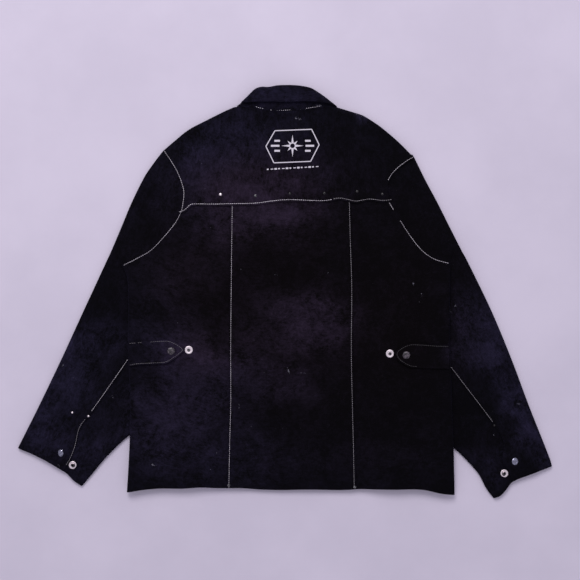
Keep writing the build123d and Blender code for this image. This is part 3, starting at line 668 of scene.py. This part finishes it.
def sleeve_top(side):
    """The height function of a sleeve's upper face, which climbs to the back at the armhole."""
    arm = armhole_line[side]
    arm_height = back_height(arm) - LEATHER - 0.4
    folds = sleeve_folds(side)
    seam = smooth(SLEEVE[side]["seam"])
    hem = smooth(SLEEVE[side]["cuff"])

    def height(points):
        x, y = points.T
        d, where = nearest(points, arm)
        at_arm = np.interp(where, np.linspace(0, 1, len(arm)), arm_height)
        hidden = inside(points, body_outline)
        fade = np.where(hidden, 1 - step(9, 26, d), bell(d, 62))
        waves = 1.2 * sleeve_waves(x, y) + 0.5 * sleeve_quick(x, y) + creases(points, SLEEVE_CREASES[side])
        beside = np.where(hidden, 0, step(0, 26, distance(points, side_line[side])))
        full = SLEEVE_TOP - 1.6 + waves * np.maximum(beside, 0.0) + 1.4 * beside
        full = full + (at_arm - full) * fade - 1.2 * bell(d - 7, 6) * ~hidden
        full = full + 0.35 * bell(distance(points, seam), 8) * pucker_waves(x, y)
        full = full - 1.6 * np.exp(-distance(points, hem) / 26)
        full = np.where(hidden & (d > 26), np.minimum(full, SLEEVE_TOP), full)
        edge = distance(points, *folds)
        low = 5.0 + (np.minimum(at_arm, 9) - 5.0) * fade
        return low + (full - low) * rounded(edge, 9)

    return height


def sleeve_bottom(side):
    folds = sleeve_folds(side)

    def height(points):
        edge = distance(points, *folds)
        return 4.6 - 4.4 * rounded(edge, 8)

    return height


# ---------------------------------------------------------------- making meshes
def new_object(name, mesh):
    obj = bpy.data.objects.new(name, mesh)
    bpy.context.collection.objects.link(obj)
    return obj


def make_piece(name, points, faces, material, node=(), rounded_off=True):
    """An object made of points in millimetres and the CAD nodes that it stands for."""
    mesh = bpy.data.meshes.new(name)
    mesh.from_pydata((np.array(points) * MM).tolist(), [], faces)
    mesh.polygons.foreach_set("use_smooth", np.full(len(faces), rounded_off))
    mesh.materials.append(material)
    obj = new_object(name, mesh)
    if node:
        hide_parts(*node)
    return obj


def carry(obj, body):
    """Let a piece ride on one body; a piece given two bodies only has its transform baked."""
    if isinstance(body, str):
        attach(obj, body)
    else:
        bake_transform(obj)


def lifted(points, height, raise_by):
    """Flat points at a height, plus raise_by, which is a number or a function."""
    return np.column_stack([points, height(points) + (raise_by(points) if callable(raise_by) else raise_by)])


def leather(name, outline, height, body, up=True, raise_by=0.0, thickness=LEATHER, pitch=PITCH, node=(),
            cloth=None,
            turn=0.0):
    """A leather sheet over outline.  Its outer face is at height, and its thickness is on the other side."""
    flat_points, triangles = fill(outline, pitch)
    outer = lifted(flat_points, height, raise_by)
    n = len(outer)
    a, b, c = (outer[triangles[:, i]] for i in range(3))
    facing = np.cross(b - a, c - a)
    normal = np.zeros((n, 3))
    for i in range(3):
        np.add.at(normal, triangles[:, i], facing)
    normal /= np.maximum(np.linalg.norm(normal, axis=1), 1e-9)[:, None]
    inner = outer - (normal if up else -normal) * thickness
    pairs = np.vstack([triangles[:, [0, 1]], triangles[:, [1, 2]], triangles[:, [2, 0]]])
    key = pairs.min(1) * n + pairs.max(1)
    _, first, times = np.unique(key, return_index=True, return_counts=True)
    border = pairs[first[times == 1]]
    turned = 1 if up else -1
    faces = [*triangles[:, ::turned].tolist(), *(triangles[:, ::-turned] + n).tolist()]
    faces += [(p, p + n, q + n, q)[::turned] for p, q in border.tolist()]
    obj = make_piece(name, np.vstack([outer, inner]), faces, cloth or SUEDE,
                     node)
    mesh = obj.data
    ends = np.empty(len(mesh.edges) * 2, int)
    mesh.edges.foreach_get("vertices", ends)
    ends = np.sort(ends.reshape(-1, 2), axis=1)
    rim = np.sort(border, axis=1)
    rims = np.concatenate([rim[:, 0] * 4 * n + rim[:, 1], (rim[:, 0] + n) * 4 * n + rim[:, 1] + n])
    sharp = mesh.attributes.new("sharp_edge", "BOOLEAN", "EDGE")
    sharp.data.foreach_set("value", np.isin(ends[:, 0] * 4 * n + ends[:, 1], rims))
    paint_wear_and_highlights(mesh, np.vstack([flat_points, flat_points]), turn, 70.0 * len(bpy.data.meshes))
    carry(obj, body)


# ---------------------------------------------------------------- the torso
def over(line, amount=0.95, reach=32):
    """Lift of a sheet whose edge, line, lies on another sheet."""
    return lambda p: amount * (1 - step(6, reach, distance(p, line)))


def under(line, amount=0.65, reach=14):
    """Drop of a sheet under the edge of another, line."""
    return lambda p: -amount * (1 - step(5, reach, distance(p, line)))


def both(*parts):
    return lambda p: sum(part(p) for part in parts)


yoke_edge = offset(yoke_line, -4)
centre_edge = {"left": offset(back_seam_line["left"], -3.5), "right": offset(back_seam_line["right"], 3.5)}
seam_ends = [(-105, 172), (131, 180)]


def seam_bump(points):
    """The yoke is higher where it crosses the back seams."""
    return sum(1.6 * bell(points[:, 0] - x, 18) * bell(points[:, 1] - y, 18) for x, y in seam_ends)


yoke_lift = both(over(yoke_edge), seam_bump)
seams_lift = both(*map(over, centre_edge.values()))
centre_lift = both(seams_lift, under(yoke_edge))


def make_back():
    left, right = armhole_line["left"], armhole_line["right"]
    lower = stretch(yoke_edge, (-214, 156), (212, 178))
    outline = loop(neck_line, shoulder_line["right"], stretch(right, right[0], lower[-1]), lower[::-1],
                   stretch(left, lower[0], left[0]), shoulder_line["left"][::-1])
    leather("back_yoke_leather", outline, back_height, "torso", raise_by=yoke_lift, node=["back_yoke"],
            turn=84)
    hidden_top = offset(yoke_line, 9)
    for side in ("left", "right"):
        sign = -1 if side == "left" else 1
        inner = back_seam_line[side] - (sign * 10, 0)
        inner = inner[inner[:, 1] < (187 if side == "right" else 185)]
        top = stretch(hidden_top, armhole_line[side][0], inner[0])
        hem = stretch(hem_line, inner[-1], side_line[side][-1])
        outline = loop(stretch(armhole_line[side], top[0], armhole_line[side][-1]), side_line[side],
                       hem[::-1],
                       inner[::-1], top[::-1])
        leather(f"back_{side}_leather", outline, back_height, "torso",
                raise_by=both(under(yoke_edge), under(centre_edge[side])), node=[f"back_{side}_panel"],
                turn=-16 if side == "left" else 8)
    edges = {s: centre_edge[s][centre_edge[s][:, 1] < 184] for s in centre_edge}
    hem = stretch(hem_line, edges["left"][-1], edges["right"][-1])
    top = stretch(hidden_top, edges["left"][0], edges["right"][0])
    outline = loop(edges["left"], hem, edges["right"][::-1], top[::-1])
    leather("back_centre_leather", outline, back_height, "torso", raise_by=centre_lift,
            node=["back_centre_panel"])


FRONT_ARMHOLE = {  # the fronts stop short of the sleeve's folds
    "left": [(-244, 281), (-222, 250), (-206, 224), (-194, 200), (-184, 172), (-190, 145), (-206, 118),
             (-232, 92), (-266, 68), (-296, 58), (-326, 54)],
    "right": [(259, 267), (240, 252), (222, 236), (204, 212), (192, 188), (196, 160), (210, 132), (236, 98),
              (268, 76), (298, 64), (330, 59)],
}
FRONT_NECK = {
    "left": [(-104, 368), (-86, 345), (-60, 322), (-32, 302), (0, 292), (35, 290)],
    "right": [(106, 368), (86, 345), (60, 322), (34, 303), (0, 292), (-35, 290)],
}
POCKET = [(-45, -3), (-45, 135), (45, 135), (45, -3), (33, -15), (-33, -15),
          (-45, -3)]  # from its middle in X
ON_FRONT = LEATHER + 0.15  # a facing or a pocket, over the front's outer face
SNAP_LEVEL = 1.45  # outer face of the left front round its snap caps
LAP_LEVEL = 7.25  # outer face of the right front where it laps inside the left one


def polygon(corners, spacing):
    """An outline with straight edges, with points about spacing apart."""
    return loop(*(smooth([a, b], spacing) for a, b in zip(corners, corners[1:])))


def front_face(side):
    """The outer, lower face of one front, which is up by its snaps at the centre."""
    level = SNAP_LEVEL if side == "left" else LAP_LEVEL

    def height(points):
        x = points[:, 0]
        near = 1 - step(38, 44, np.abs(x)) if side == "left" else 1 - step(40, 118, x)
        base = front_height(points)
        return base + (np.maximum(level, base) - base) * near

    return height


def make_fronts():
    for side, lap in (("left", 35), ("right", -35)):
        neck = smooth(FRONT_NECK[side])
        edge = smooth([(lap, 290), (lap, 0), (lap, -395)], 8)
        hem = stretch(hem_line, (lap, -394), side_line[side][-1])
        outline = loop(neck, edge, hem, side_line[side][::-1], smooth(FRONT_ARMHOLE[side])[::-1],
                       shoulder_line[side][::-1])
        face = front_face(side)
        leather(f"front_{side}_leather", outline, face, "torso", up=False, pitch=5,
                node=[f"front_{side}_panel"])
        facing = polygon([(-33, 285), (33, 285), (33, -385), (-33, -385), (-33, 285)], 6)
        leather(f"front_{side}_facing_leather", facing, face, "torso", up=False, pitch=6,
                raise_by=ON_FRONT, node=[f"front_{side}_facing"])
        centre = -92 if side == "left" else 92
        pocket = polygon([(centre + x, y) for x, y in POCKET], 6)
        leather(f"inside_pocket_{side}_leather", pocket, face, "torso", up=False, pitch=6,
                raise_by=ON_FRONT, node=[f"inside_pocket_{side}"])


LINING = [(-196, 188), (-60, 191), (200, 195), (198, 240), (184, 316), (105, 352), (60, 357), (-5, 353),
          (-50, 355), (-90, 352), (-180, 314), (-202, 240), (-196, 188)]


LINING_THICKNESS = 0.8  # cotton


def make_lining():
    outline = polygon(LINING, 5)
    leather("yoke_lining_cotton", outline, back_height, "torso", pitch=6, thickness=LINING_THICKNESS,
            raise_by=-LEATHER - 0.25, node=["yoke_lining"], cloth=COTTON)


COLLAR_EDGE = [(-104, 368), (-95, 371.5), (-77, 388), (-64, 401), (-56, 406.5), (-45, 409), (-33, 408.5),
               (-15, 411.6), (4, 412.3), (22, 411.8), (37, 410), (52, 406.3), (64, 399.5), (78, 390),
               (94, 377.5), (106, 368)]
FALL_EDGE = [(-84, 377), (-76, 376.5), (-60, 377.5), (-30, 378), (0, 377.5), (40, 378.5), (66, 377.5),
             (88, 374), (104, 369)]
STAND_EDGE = [(-96, 370.5), (-90, 374.5), (-79, 384.5), (-66, 397), (-56, 403), (-45, 405.5), (-33, 405),
              (-15, 408.2), (4, 409), (22, 408.4), (37, 406.6), (52, 403), (64, 396), (78, 386.5),
              (92, 375.5), (103, 369)]
FALL_THICKNESS = 2.9  # two leathers
collar_edge = smooth(COLLAR_EDGE)
fall_edge = smooth(FALL_EDGE)


def roll_height(top, low, radius, wave):
    """A collar layer that turns down round the collar's upper edge."""
    def height(points):
        x, y = points.T
        edge = distance(points, collar_edge)
        return low + (top(points) + wave * quick_waves(x * 1.3, y * 2 + 40) - low) * rounded(edge, radius)

    return height


def stand_top(points):
    """The stand rises from the neck seam to the roll."""
    return back_height(points) + 0.3 + 2.4 * step(2, 26, distance(points, neck_line))


def fall_top(points):
    return 23.4 + 0.9 * step(4, 26, distance(points, fall_edge)) - 0.5 * np.exp(-distance(points,
                                                                                          fall_edge) / 3)


def make_collar():
    edge = stretch(collar_edge, (-87, 378.5), (105, 369))
    fall = loop(edge, fall_edge[::-1])
    hinge = ("torso", "collar", (0, 411.5 * MM, 0.02), (0, 402 * MM, 0.02))
    face = roll_height(fall_top, 14.0, 8.5, 0.35)
    leather("collar_fall_leather", fall, face, hinge, pitch=2.4, thickness=FALL_THICKNESS,
            node=["collar_fall", "collar_fall_facing"])
    inset = smooth(STAND_EDGE)
    stand = loop(inset, smooth([(103, 368), (80, 367), (52, 364), (6, 360), (-18, 359), (-44, 363),
                                (-58, 366), (-96, 369.5)]))
    face = roll_height(stand_top, 12.2, 6, 0.2)
    leather("collar_stand_back", stand, face, "torso", pitch=3, raise_by=0.2, node=["collar_stand"])
    inner = [(-88, 366), (-80, 350), (-56, 330), (-30, 312), (0, 300), (30, 312), (56, 330), (80, 350),
             (98, 366)]
    front = loop(inset, smooth(inner)[::-1])
    leather("collar_stand_front", front, lambda p: 10.6 - 0.8 * rounded(distance(p, collar_edge), 8), "torso",
            up=False, pitch=4)


# ---------------------------------------------------------------- the sleeves
SNAPS = {  # on each sleeve: the flap's cap, and the bare stud beside the flap
    "left": {"cap": (-447, -321), "stud": (-424, -345.5), "rivets": [(-392, -247.5), (-424.5, -240.5)],
             "lean": (0.22, 0.06), "oval": 0.8},
    "right": {"cap": (458.4, -337.4), "stud": (437.8, -362), "rivets": [(417.5, -266)],
              "lean": (-0.08, 0.05), "oval": 0.88},
}
SWING_REACH = 52.0  # half the length of the span round a sleeve's pivot
INNER_END = {"left": [(-222, 50), (-208, 95), (-199, 138)], "right": [(228, 50), (214, 98), (205, 146)]}


def swing(side):
    """The torso, the sleeve and a span round the sleeve's pivot, for a sheet that crosses the shoulder joint.
    """
    pivot, down = np.array(SLEEVE[side]["pivot"]), np.array(SLEEVE[side]["down"])
    start, end = pivot - SWING_REACH * down, pivot + SWING_REACH * down
    return ("torso", f"sleeve_{side}", (*(start * MM), 0.005), (*(end * MM), 0.005))


def lift_of_flap(side):
    """The sleeve's body, the flap's own, and a span of a few millimetres at the flap's fold."""
    a, b = np.array(SLEEVE[side]["fold"][0]), np.array(SLEEVE[side]["fold"][-1])
    across = np.array([-(b - a)[1], (b - a)[0]]) / np.hypot(*(b - a))
    if across @ (np.array(SNAPS[side]["cap"]) - a) < 0:
        across = -across
    return (f"sleeve_{side}", f"cuff_flap_{side}", (*((a - 0.5 * across) * MM), 0.0125),
            (*((a + 5 * across) * MM), 0.0125))


def sleeve_lines(side):
    lines = {k: smooth(SLEEVE[side][k]) for k in ("outside", "cuff", "inside", "seam", "fold", "free")}
    lines["arm"] = offset(armhole_line[side], 9 if side == "left" else -9)
    lines["end"] = smooth(INNER_END[side])
    return lines


def flap_outline(lines):
    return loop(lines["fold"], stretch(lines["cuff"], lines["fold"][-1], lines["free"][-1]),
                lines["free"][::-1])


def flap_raise(side):
    """The flap lies on its sleeve, and stands up where the snap under it holds it."""
    x, y = SNAPS[side]["cap"]
    fold = smooth(SLEEVE[side]["fold"])

    def raised(points):
        d = np.hypot(points[:, 0] - x, points[:, 1] - y)
        return 0.95 + 2.3 * bell(d, 24) * step(0, 16, distance(points, fold))

    return raised


def make_sleeve(side):
    lines = sleeve_lines(side)
    top, bottom = sleeve_top(side), sleeve_bottom(side)
    lengthways = 66 if side == "left" else -66
    seam, fold = lines["seam"], lines["fold"]
    edge = np.vstack([seam, fold[1:]])
    flap = flap_outline(lines)
    outline = loop(lines["outside"], stretch(lines["cuff"], lines["outside"][-1], fold[-1]), edge[::-1],
                   stretch(lines["arm"], seam[0], lines["arm"][0]))
    leather(f"sleeve_{side}_outer_leather", outline, top, swing(side), raise_by=over(edge),
            node=[f"sleeve_{side}_outer", f"sleeve_{side}_head"], turn=lengthways)
    low = -0.6

    def sunk(points):
        in_flap = inside(points, flap)
        near = 1 - step(2, 14, distance(points, np.vstack([flap, flap[:1]])))
        return np.where(in_flap, low, low * near) - 0.65 * (1 - step(5, 14, distance(points, edge)))

    hidden = offset(edge, -8 if side == "left" else 8)
    outline = loop(hidden[:-1], stretch(lines["cuff"], hidden[-1], lines["cuff"][-1]), lines["inside"],
                   lines["end"], stretch(lines["arm"], lines["end"][-1], seam[0]))
    leather(f"sleeve_{side}_under_leather", outline, top, swing(side), raise_by=sunk,
            node=[f"sleeve_{side}_under"], turn=lengthways)
    outline = loop(lines["outside"], lines["cuff"], lines["inside"], lines["end"],
                   stretch(lines["arm"], lines["end"][-1], lines["arm"][0]))
    leather(f"sleeve_{side}_bottom_leather", outline, bottom, swing(side), up=False, pitch=5)
    leather(f"cuff_flap_{side}_leather", flap, top, lift_of_flap(side), raise_by=flap_raise(side), pitch=2.4,
            turn=lengthways, node=[f"cuff_flap_{side}", f"cuff_flap_{side}_anchor"])


# ---------------------------------------------------------------- the waist tabs
TAB_GAP = 0.35  # between a tab and the back
TAB_BODY = 2.8  # its two leathers


def tab_rise(side):
    """Height of a tab's upper face over the back: it climbs over the snap that holds it."""
    x, y = TAB[side]["cap"]

    def raised(points):
        d = np.hypot(points[:, 0] - x, points[:, 1] - y)
        return TAB_GAP + TAB_BODY + 2.5 * bell(d, 26) - 0.25 * quick_waves(points[:, 0], points[:, 1] + 90)

    return raised


def lift_of_tab(side):
    x = TAB[side]["edge"][0][0]
    toward = TAB[side]["side"]
    return ("torso", f"waist_tab_{side}", ((x + toward * 4) * MM, -0.12, 0.025),
            ((x + toward * 16) * MM, -0.12, 0.025))


def make_tab(side):
    outline = smooth(TAB[side]["edge"])
    outline = loop(outline, smooth([TAB[side]["edge"][-1], TAB[side]["edge"][0]]))
    leather(f"waist_tab_{side}_leather", outline, back_height, lift_of_tab(side), raise_by=tab_rise(side),
            pitch=2.2,
            thickness=TAB_BODY, node=[f"waist_tab_{side}_{part}" for part in ("outer", "backing", "anchor")])


# ---------------------------------------------------------------- stitches
STITCH = 4.2  # from one stitch to the next
ROUND = 7  # sides of a thread
STITCH_SHAPE = [  # how far along, how wide, and how far above the leather: its ends dive in
    (0.0, 0.35, -1.0), (0.09, 0.8, -0.35), (0.28, 1.0, 0.2), (0.5, 1.05, 0.35), (0.72, 1.0, 0.2),
    (0.91, 0.8, -0.35), (1.0, 0.35, -1.0),
]


def capsule(start, end, radius):
    """Points and faces of one stitch, a round thread."""
    run = end - start
    length = float(np.linalg.norm(run))
    along = run / length
    side = np.cross((0, 0, 1), along)
    side /= np.linalg.norm(side)
    top = np.cross(along, side)
    points = []
    for where, wide, lifted_by in STITCH_SHAPE:
        centre = start + along * (where * length) + top * (lifted_by * radius)
        for k in range(ROUND):
            a = 2 * math.pi * k / ROUND
            points.append(centre + radius * wide * (math.cos(a) * side + math.sin(a) * top))
    return points, tube(0, len(STITCH_SHAPE), ROUND)


def tube(base, rings, sides, turned=False):
    """Faces of a closed tube whose rings of points start at base."""
    faces = []
    for i in range(rings - 1):
        for k in range(sides):
            a, b = base + i * sides + k, base + i * sides + (k + 1) % sides
            faces.append((a, a + sides, b + sides, b) if turned else (a, b, b + sides, a + sides))
    ends = [tuple(range(base + i * sides, base + i * sides + sides)) for i in (0, rings - 1)]
    return faces + ([ends[0], ends[1][::-1]] if turned else [ends[0][::-1], ends[1]])


def stitches(name, line, height, body, raise_by, radius, shade="soiled", gaps=(), seed=1):
    """A row of stitches on a sheet.  Each of gaps is a centre and a radius where the thread is hidden."""
    random = np.random.default_rng(seed)
    points, faces = [], []
    path = lifted(line, height, raise_by)
    run = np.concatenate([[0], np.cumsum(np.linalg.norm(np.diff(path, axis=0), axis=1))])
    for i in range(max(1, int(run[-1] / STITCH))):
        jitter = random.uniform(-0.12, 0.12, 3)
        a, b = (i + 0.02 + 0.1 * jitter[0]) * STITCH, (i + 0.98 + 0.1 * jitter[1]) * STITCH
        start, end = (np.array([np.interp(s, run, path[:, k]) for k in range(3)]) for s in (a, b))
        middle = (start + end)[:2] / 2
        if any(math.dist(middle, centre) < reach for centre, reach in gaps):
            continue
        sideways = np.array([-(end - start)[1], (end - start)[0], 0]) / math.dist(start,
                                                                                  end) * jitter[2] * 1.3
        made, around = capsule(start + sideways, end + sideways * 0.4, radius)
        base = len(points)
        points += made
        faces += [tuple(base + k for k in face) for face in around]
    carry(make_piece(name, points, faces, THREAD[shade]), body)


def sleeve_edge(side):
    """A sleeve's back seam and the fold of its cuff flap."""
    return smooth(SLEEVE[side]["seam"] + SLEEVE[side]["fold"][1:])


def across_yoke(side):
    """Lift of a row that runs from the yoke down onto a panel."""
    end = yoke_edge[0 if side == "left" else -1, 1]
    return lambda p: np.where(p[:, 1] > end, over(yoke_edge)(p), under(yoke_edge)(p))


def make_stitches():
    for name, row, shade in (("yoke_stitches", yoke_line[yoke_line[:, 0] < 98], "clean"),
                             ("yoke_right_stitches", yoke_line[yoke_line[:, 0] > 96], "grey")):
        stitches(name, row, back_height, "torso", yoke_lift, 0.51, shade, seed=2)
    for side, top, shade in (("left", 175, "soiled"), ("right", 182, "grey")):
        line = back_seam_line[side]
        stitches(f"back_{side}_seam_stitches", line[line[:, 1] < top], back_height, "torso", centre_lift,
                 0.44, shade,
                 seed=3)
    for side, sign, cut, shade in (("left", 1, -1, "soiled"), ("right", -1, -3, "grey")):
        line = offset(armhole_line[side], sign * 3.0)[1:-1]
        hidden = [((206, 206), 15), ((209, 192), 14), ((219, 168), 4),
                  ((226, 156), 13)] if side == "right" else ()
        stitches(f"armhole_{side}_stitches", line, back_height, "torso", across_yoke(side), 0.46,
                 gaps=hidden, seed=4)
        line = offset(smooth(SLEEVE[side]["seam"]), -sign * 2.2)
        line = line[~inside(line, body_outline)][:cut]
        stitches(f"sleeve_{side}_seam_stitches", line, sleeve_top(side), swing(side),
                 over(sleeve_edge(side)), 0.44,
                 shade, seed=5)
    line = offset(smooth(SLEEVE["left"]["free"]), -2.0)
    line = line[inside(line, flap_outline(sleeve_lines("left")))][2:-4]
    stitches("cuff_flap_left_stitches", line, sleeve_top("left"), lift_of_flap("left"), flap_raise("left"),
             0.34,
             "grey", seed=6)
    for side, shade in (("left", "dim"), ("right", "dark")):
        stitches(f"waist_tab_{side}_stitches", smooth(TAB[side]["stitch"]), back_height, lift_of_tab(side),
                 tab_rise(side), 0.34, shade, [((-275, -100), 7), ((-294, -101), 3)], seed=7)
    line = offset(smooth([(-58, 371), (-44, 367), (-18, 363), (6, 364), (31, 366), (52, 369), (71, 372)]), -2)
    stitches("neck_stitches", line, back_height, "torso", 0.0, 0.44, "clean",
             [((-37, 364), 6), ((-22, 362), 4), ((38, 366), 5)], seed=8)


# ---------------------------------------------------------------- snaps and rivets
SEGMENTS = 40  # round a turned piece
# the rows inside a stud's hole are painted black, a painted shade for the recess
HOLE_SHADE_ROWS = 5  # the first rows of a stud's profile line its hole


def lathe(name, profile, places, material, body, node=(), dark=0):
    """One piece of turned parts.  profile runs from the axis, in radius and height.

    A place is x, y and z, then the slopes that the part leans by and, where it is bent oval, its width.
    The first dark rows of each part are black lacquer: painted shade inside a stud's hole.
    """
    points, faces = [], []
    rows = len(profile)
    for x, y, z, *lean in places:
        faces += tube(len(points), rows, SEGMENTS, turned=True)
        oval = lean[2] if len(lean) > 2 else 1.0
        for radius, height in profile:
            for k in range(SEGMENTS):
                a = 2 * math.pi * k / SEGMENTS
                u, v = radius * math.cos(a), radius * math.sin(a)
                points.append((x + oval * u, y + v, z + height + lean[0] * u + lean[1] * v))
    obj = make_piece(name, points, faces, material, node)
    obj.data.set_sharp_from_angle(angle=math.radians(50))
    # painted shade: the rows inside a stud's hole get black lacquer
    if dark:
        obj.data.materials.append(LACQUER)
        each = (rows - 1) * SEGMENTS + 2
        for i, polygon in enumerate(obj.data.polygons):
            polygon.material_index = int(i % each < dark * SEGMENTS)
    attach(obj, body)


CAP = [(0.4, 2.15), (2.4, 2.1), (4.4, 1.85), (6.0, 1.4), (7.0, 0.85), (7.5, 0.3), (7.5, -0.05), (7.1, -0.3),
       (2.2, -0.3), (2.0, -0.5), (2.0, -3.0), (0.4, -3.0)]
STUD = [(0.2, 0.2), (2.5, 0.25), (2.6, 1.6), (2.7, 2.2), (2.95, 2.4), (3.2, 2.3), (3.4, 1.9), (3.4, 1.3),
        (3.2, 0.85), (3.4, 0.45), (4.4, 0.4), (5.6, 0.75), (7.0, 0.85), (7.8, 0.5), (8.0, 0.0), (7.7, -0.3),
        (0.2, -0.3)]
RIVET = [(0.3, 1.25), (1.4, 1.15), (2.3, 0.8), (2.9, 0.25), (3.0, -0.1), (2.7, -0.25), (0.3, -0.25)]
SLEEVE_RIVET = [(0.75 * radius, height) for radius, height in RIVET]
SOCKET = [(3.8, 0.0), (6.2, 0.0), (6.5, 0.4), (6.5, 1.7), (6.2, 2.1), (3.8, 2.1)]


SOCKET_DROP = 2.2  # from the inner face of a flap or tab to the bottom of the socket under it
PRINT_LIFT = 0.12


def placed(centres, height, raise_by=0.0):
    """Places on a sheet for turned parts, leaning with the leather."""
    found = []
    for x, y in centres:
        around = np.array([(x, y), (x + 6, y), (x - 6, y), (x, y + 6), (x, y - 6)], float)
        z = lifted(around, height, raise_by)[:, 2]
        found.append((x, y, z.mean(), (z[1] - z[2]) / 12, (z[3] - z[4]) / 12))
    return found


def make_tab_snap(side):
    (place,) = placed([TAB[side]["cap"]], back_height, tab_rise(side))
    x, y, z, *lean = place
    body = f"waist_tab_{side}"
    lathe(f"{body}_snap_cap", CAP, [place], CAP_PAINT, body, [f"{body}_cap"])
    lathe(f"{body}_snap_socket", SOCKET, [(x, y, z - TAB_BODY - SOCKET_DROP, *lean)], NICKEL,
          body, [f"{body}_socket"])


def make_cuff_hardware(side):
    snap = SNAPS[side]
    sleeve, flap = f"sleeve_{side}", f"cuff_flap_{side}"
    studs = placed([snap["stud"], snap["cap"]], sleeve_top(side), -0.6)
    lathe(f"cuff_studs_{side}", STUD, studs, NICKEL, sleeve,
          [f"cuff_snap_studs_{side}", f"cuff_snap_posts_{side}"], HOLE_SHADE_ROWS)
    ((x, y, z, *lean),) = placed([snap["cap"]], sleeve_top(side), flap_raise(side))
    place = (x, y, z, lean[0] + snap["lean"][0], lean[1] + snap["lean"][1], snap["oval"])
    lathe(f"cuff_cap_{side}", CAP, [place], GREY_PAINT, flap, [f"{flap}_cap"])
    lathe(f"cuff_socket_{side}", SOCKET, [(x, y, z - LEATHER - SOCKET_DROP, *lean)], NICKEL,
          flap, [f"{flap}_socket"])
    heads = placed(snap["rivets"], sleeve_top(side), over(sleeve_edge(side)))
    lathe(f"cuff_rivets_{side}", SLEEVE_RIVET, heads, NICKEL if side == "left" else RIVET_PAINT,
          sleeve, [f"{sleeve}_rivets"])


def make_hardware():
    studs = [TAB[side][part] for part in ("stud", "cap") for side in TAB]
    lathe("waist_studs", STUD, placed(studs, back_height), NICKEL, "torso",
          ["waist_snap_studs", "waist_snap_posts"], HOLE_SHADE_ROWS)
    for side in TAB:
        make_tab_snap(side)
    for side in SLEEVE:
        make_cuff_hardware(side)
    rivets = placed(YOKE_RIVETS, back_height, yoke_lift)
    ends = placed([(-112, -385), (139, -389)], back_height, seams_lift)
    for name, places, paint, nodes in (("yoke_rivet_heads", rivets[2:], RIVET_PAINT, ["yoke_rivets"]),
                                       ("yoke_rivet_worn", rivets[1:2], LACQUER, ()),
                                       ("yoke_rivet_bare", rivets[:1], NICKEL, ()),
                                       ("back_seam_rivet_heads", ends, LACQUER, ["back_seam_rivets"])):
        lathe(name, RIVET, places, paint, "torso", nodes)
    for part in ("caps", "posts", "sockets", "studs"):
        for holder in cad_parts[f"front_snap_{part}"].material_slots:
            holder.material = LACQUER if part == "caps" else NICKEL


# ---------------------------------------------------------------- a plain printed mark on the yoke
BADGE = [(-53, -1), (-35, 30), (38, 33), (53, 2), (36, -31), (-37, -34), (-53, -1)]  # from the mark's centre


def strip(points, faces, start, end, half_width):
    """Add a flat band from start to end."""
    line = smooth([start, end], 1.5)
    n, base = len(line), len(points)
    points += [*offset(line, half_width).tolist(), *offset(line, -half_width).tolist()]
    faces += [(base + i + 1, base + i, base + n + i, base + n + i + 1) for i in range(n - 1)]


def make_print():
    """A lozenge frame round a plain spark with bars beside it, and a broken line below."""
    cx, cy = PRINT_CENTRE
    points, faces = [], []
    for a, b in zip(BADGE, BADGE[1:]):
        strip(points, faces, (cx + a[0], cy + a[1]), (cx + b[0], cy + b[1]), 0.95)
    for k in range(8):  # the rays of the spark
        angle = math.radians(45 * k)
        direction = np.array([math.cos(angle), math.sin(angle)])
        tip = np.array([cx, cy]) + direction * (22 if k % 2 == 0 else 14)
        root = np.array([cx, cy]) + direction * 4.5
        side = np.array([-direction[1], direction[0]])
        base = len(points)
        points += [(root - side * 2.6).tolist(), tip.tolist(), (root + side * 2.6).tolist()]
        faces.append((base, base + 1, base + 2))
    for side in (-1, 1):  # the bars
        for k, (near, far) in enumerate(((25, 36), (26, 43), (25, 36))):
            y = cy + 10 * (1 - k)
            strip(points, faces, *sorted([(cx + side * near, y), (cx + side * far, y)]), 1.9)
    for k in range(14):  # the broken line
        start, low = cx - 51 + 7.5 * k, cy - 47 + 0.42 * k
        long = 5.2 if k % 3 else 3.4
        strip(points, faces, (start, low), (start + long, low + 0.3), (1.3, 0.8, 1.6)[k % 3])
    obj = make_piece("yoke_print", lifted(np.array(points), back_height, PRINT_LIFT), faces, INK,
                     rounded_off=False)
    solid = obj.modifiers.new("thickness", "SOLIDIFY")
    solid.thickness = 0.0002
    solid.offset = 0
    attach(obj, "torso")


make_back()
make_fronts()
make_lining()
make_collar()
for side_name in SLEEVE:
    make_sleeve(side_name)
    make_tab(side_name)
make_stitches()
make_hardware()
make_print()


# ---------------------------------------------------------------- floor, light and camera
CAMERA_AT = (0.010, 0.004, 2.212)
OBJECT_LEVEL = 0.012
FRAME_WIDTH = 1.156  # at the object's level


def make_floor():
    mesh = bpy.data.meshes.new("floor")
    mesh.from_pydata([(-12, -12, 0), (12, -12, 0), (12, 12, 0), (-12, 12, 0)], [], [(0, 1, 2, 3)])
    mesh.materials.append(floor_paint())
    new_object("floor", mesh)


def make_light():
    world = bpy.data.worlds.new("soft_room")
    world.use_nodes = True
    background = world.node_tree.nodes["Background"]
    background.inputs["Color"].default_value = (0.90, 0.88, 1.0, 1)
    background.inputs["Strength"].default_value = 0.6
    bpy.context.scene.world = world
    data = bpy.data.lights.new("window", "AREA")
    data.size = 1.6
    data.energy = 66
    data.color = (1.0, 0.97, 0.98)
    light = new_object("window", data)
    light.location = (-0.5, 2.1, 2.7)
    light.rotation_euler = (-light.location).to_track_quat("-Z", "Y").to_euler()


def make_camera():
    data = bpy.data.cameras.new("camera")
    height = CAMERA_AT[2] - OBJECT_LEVEL
    data.sensor_width = 36
    data.lens = 18 / (FRAME_WIDTH / 2 / height)
    camera = new_object("camera", data)
    camera.location = CAMERA_AT
    bpy.context.scene.camera = camera
    bpy.context.scene.view_settings.view_transform = "Standard"


make_floor()
make_light()
make_camera()
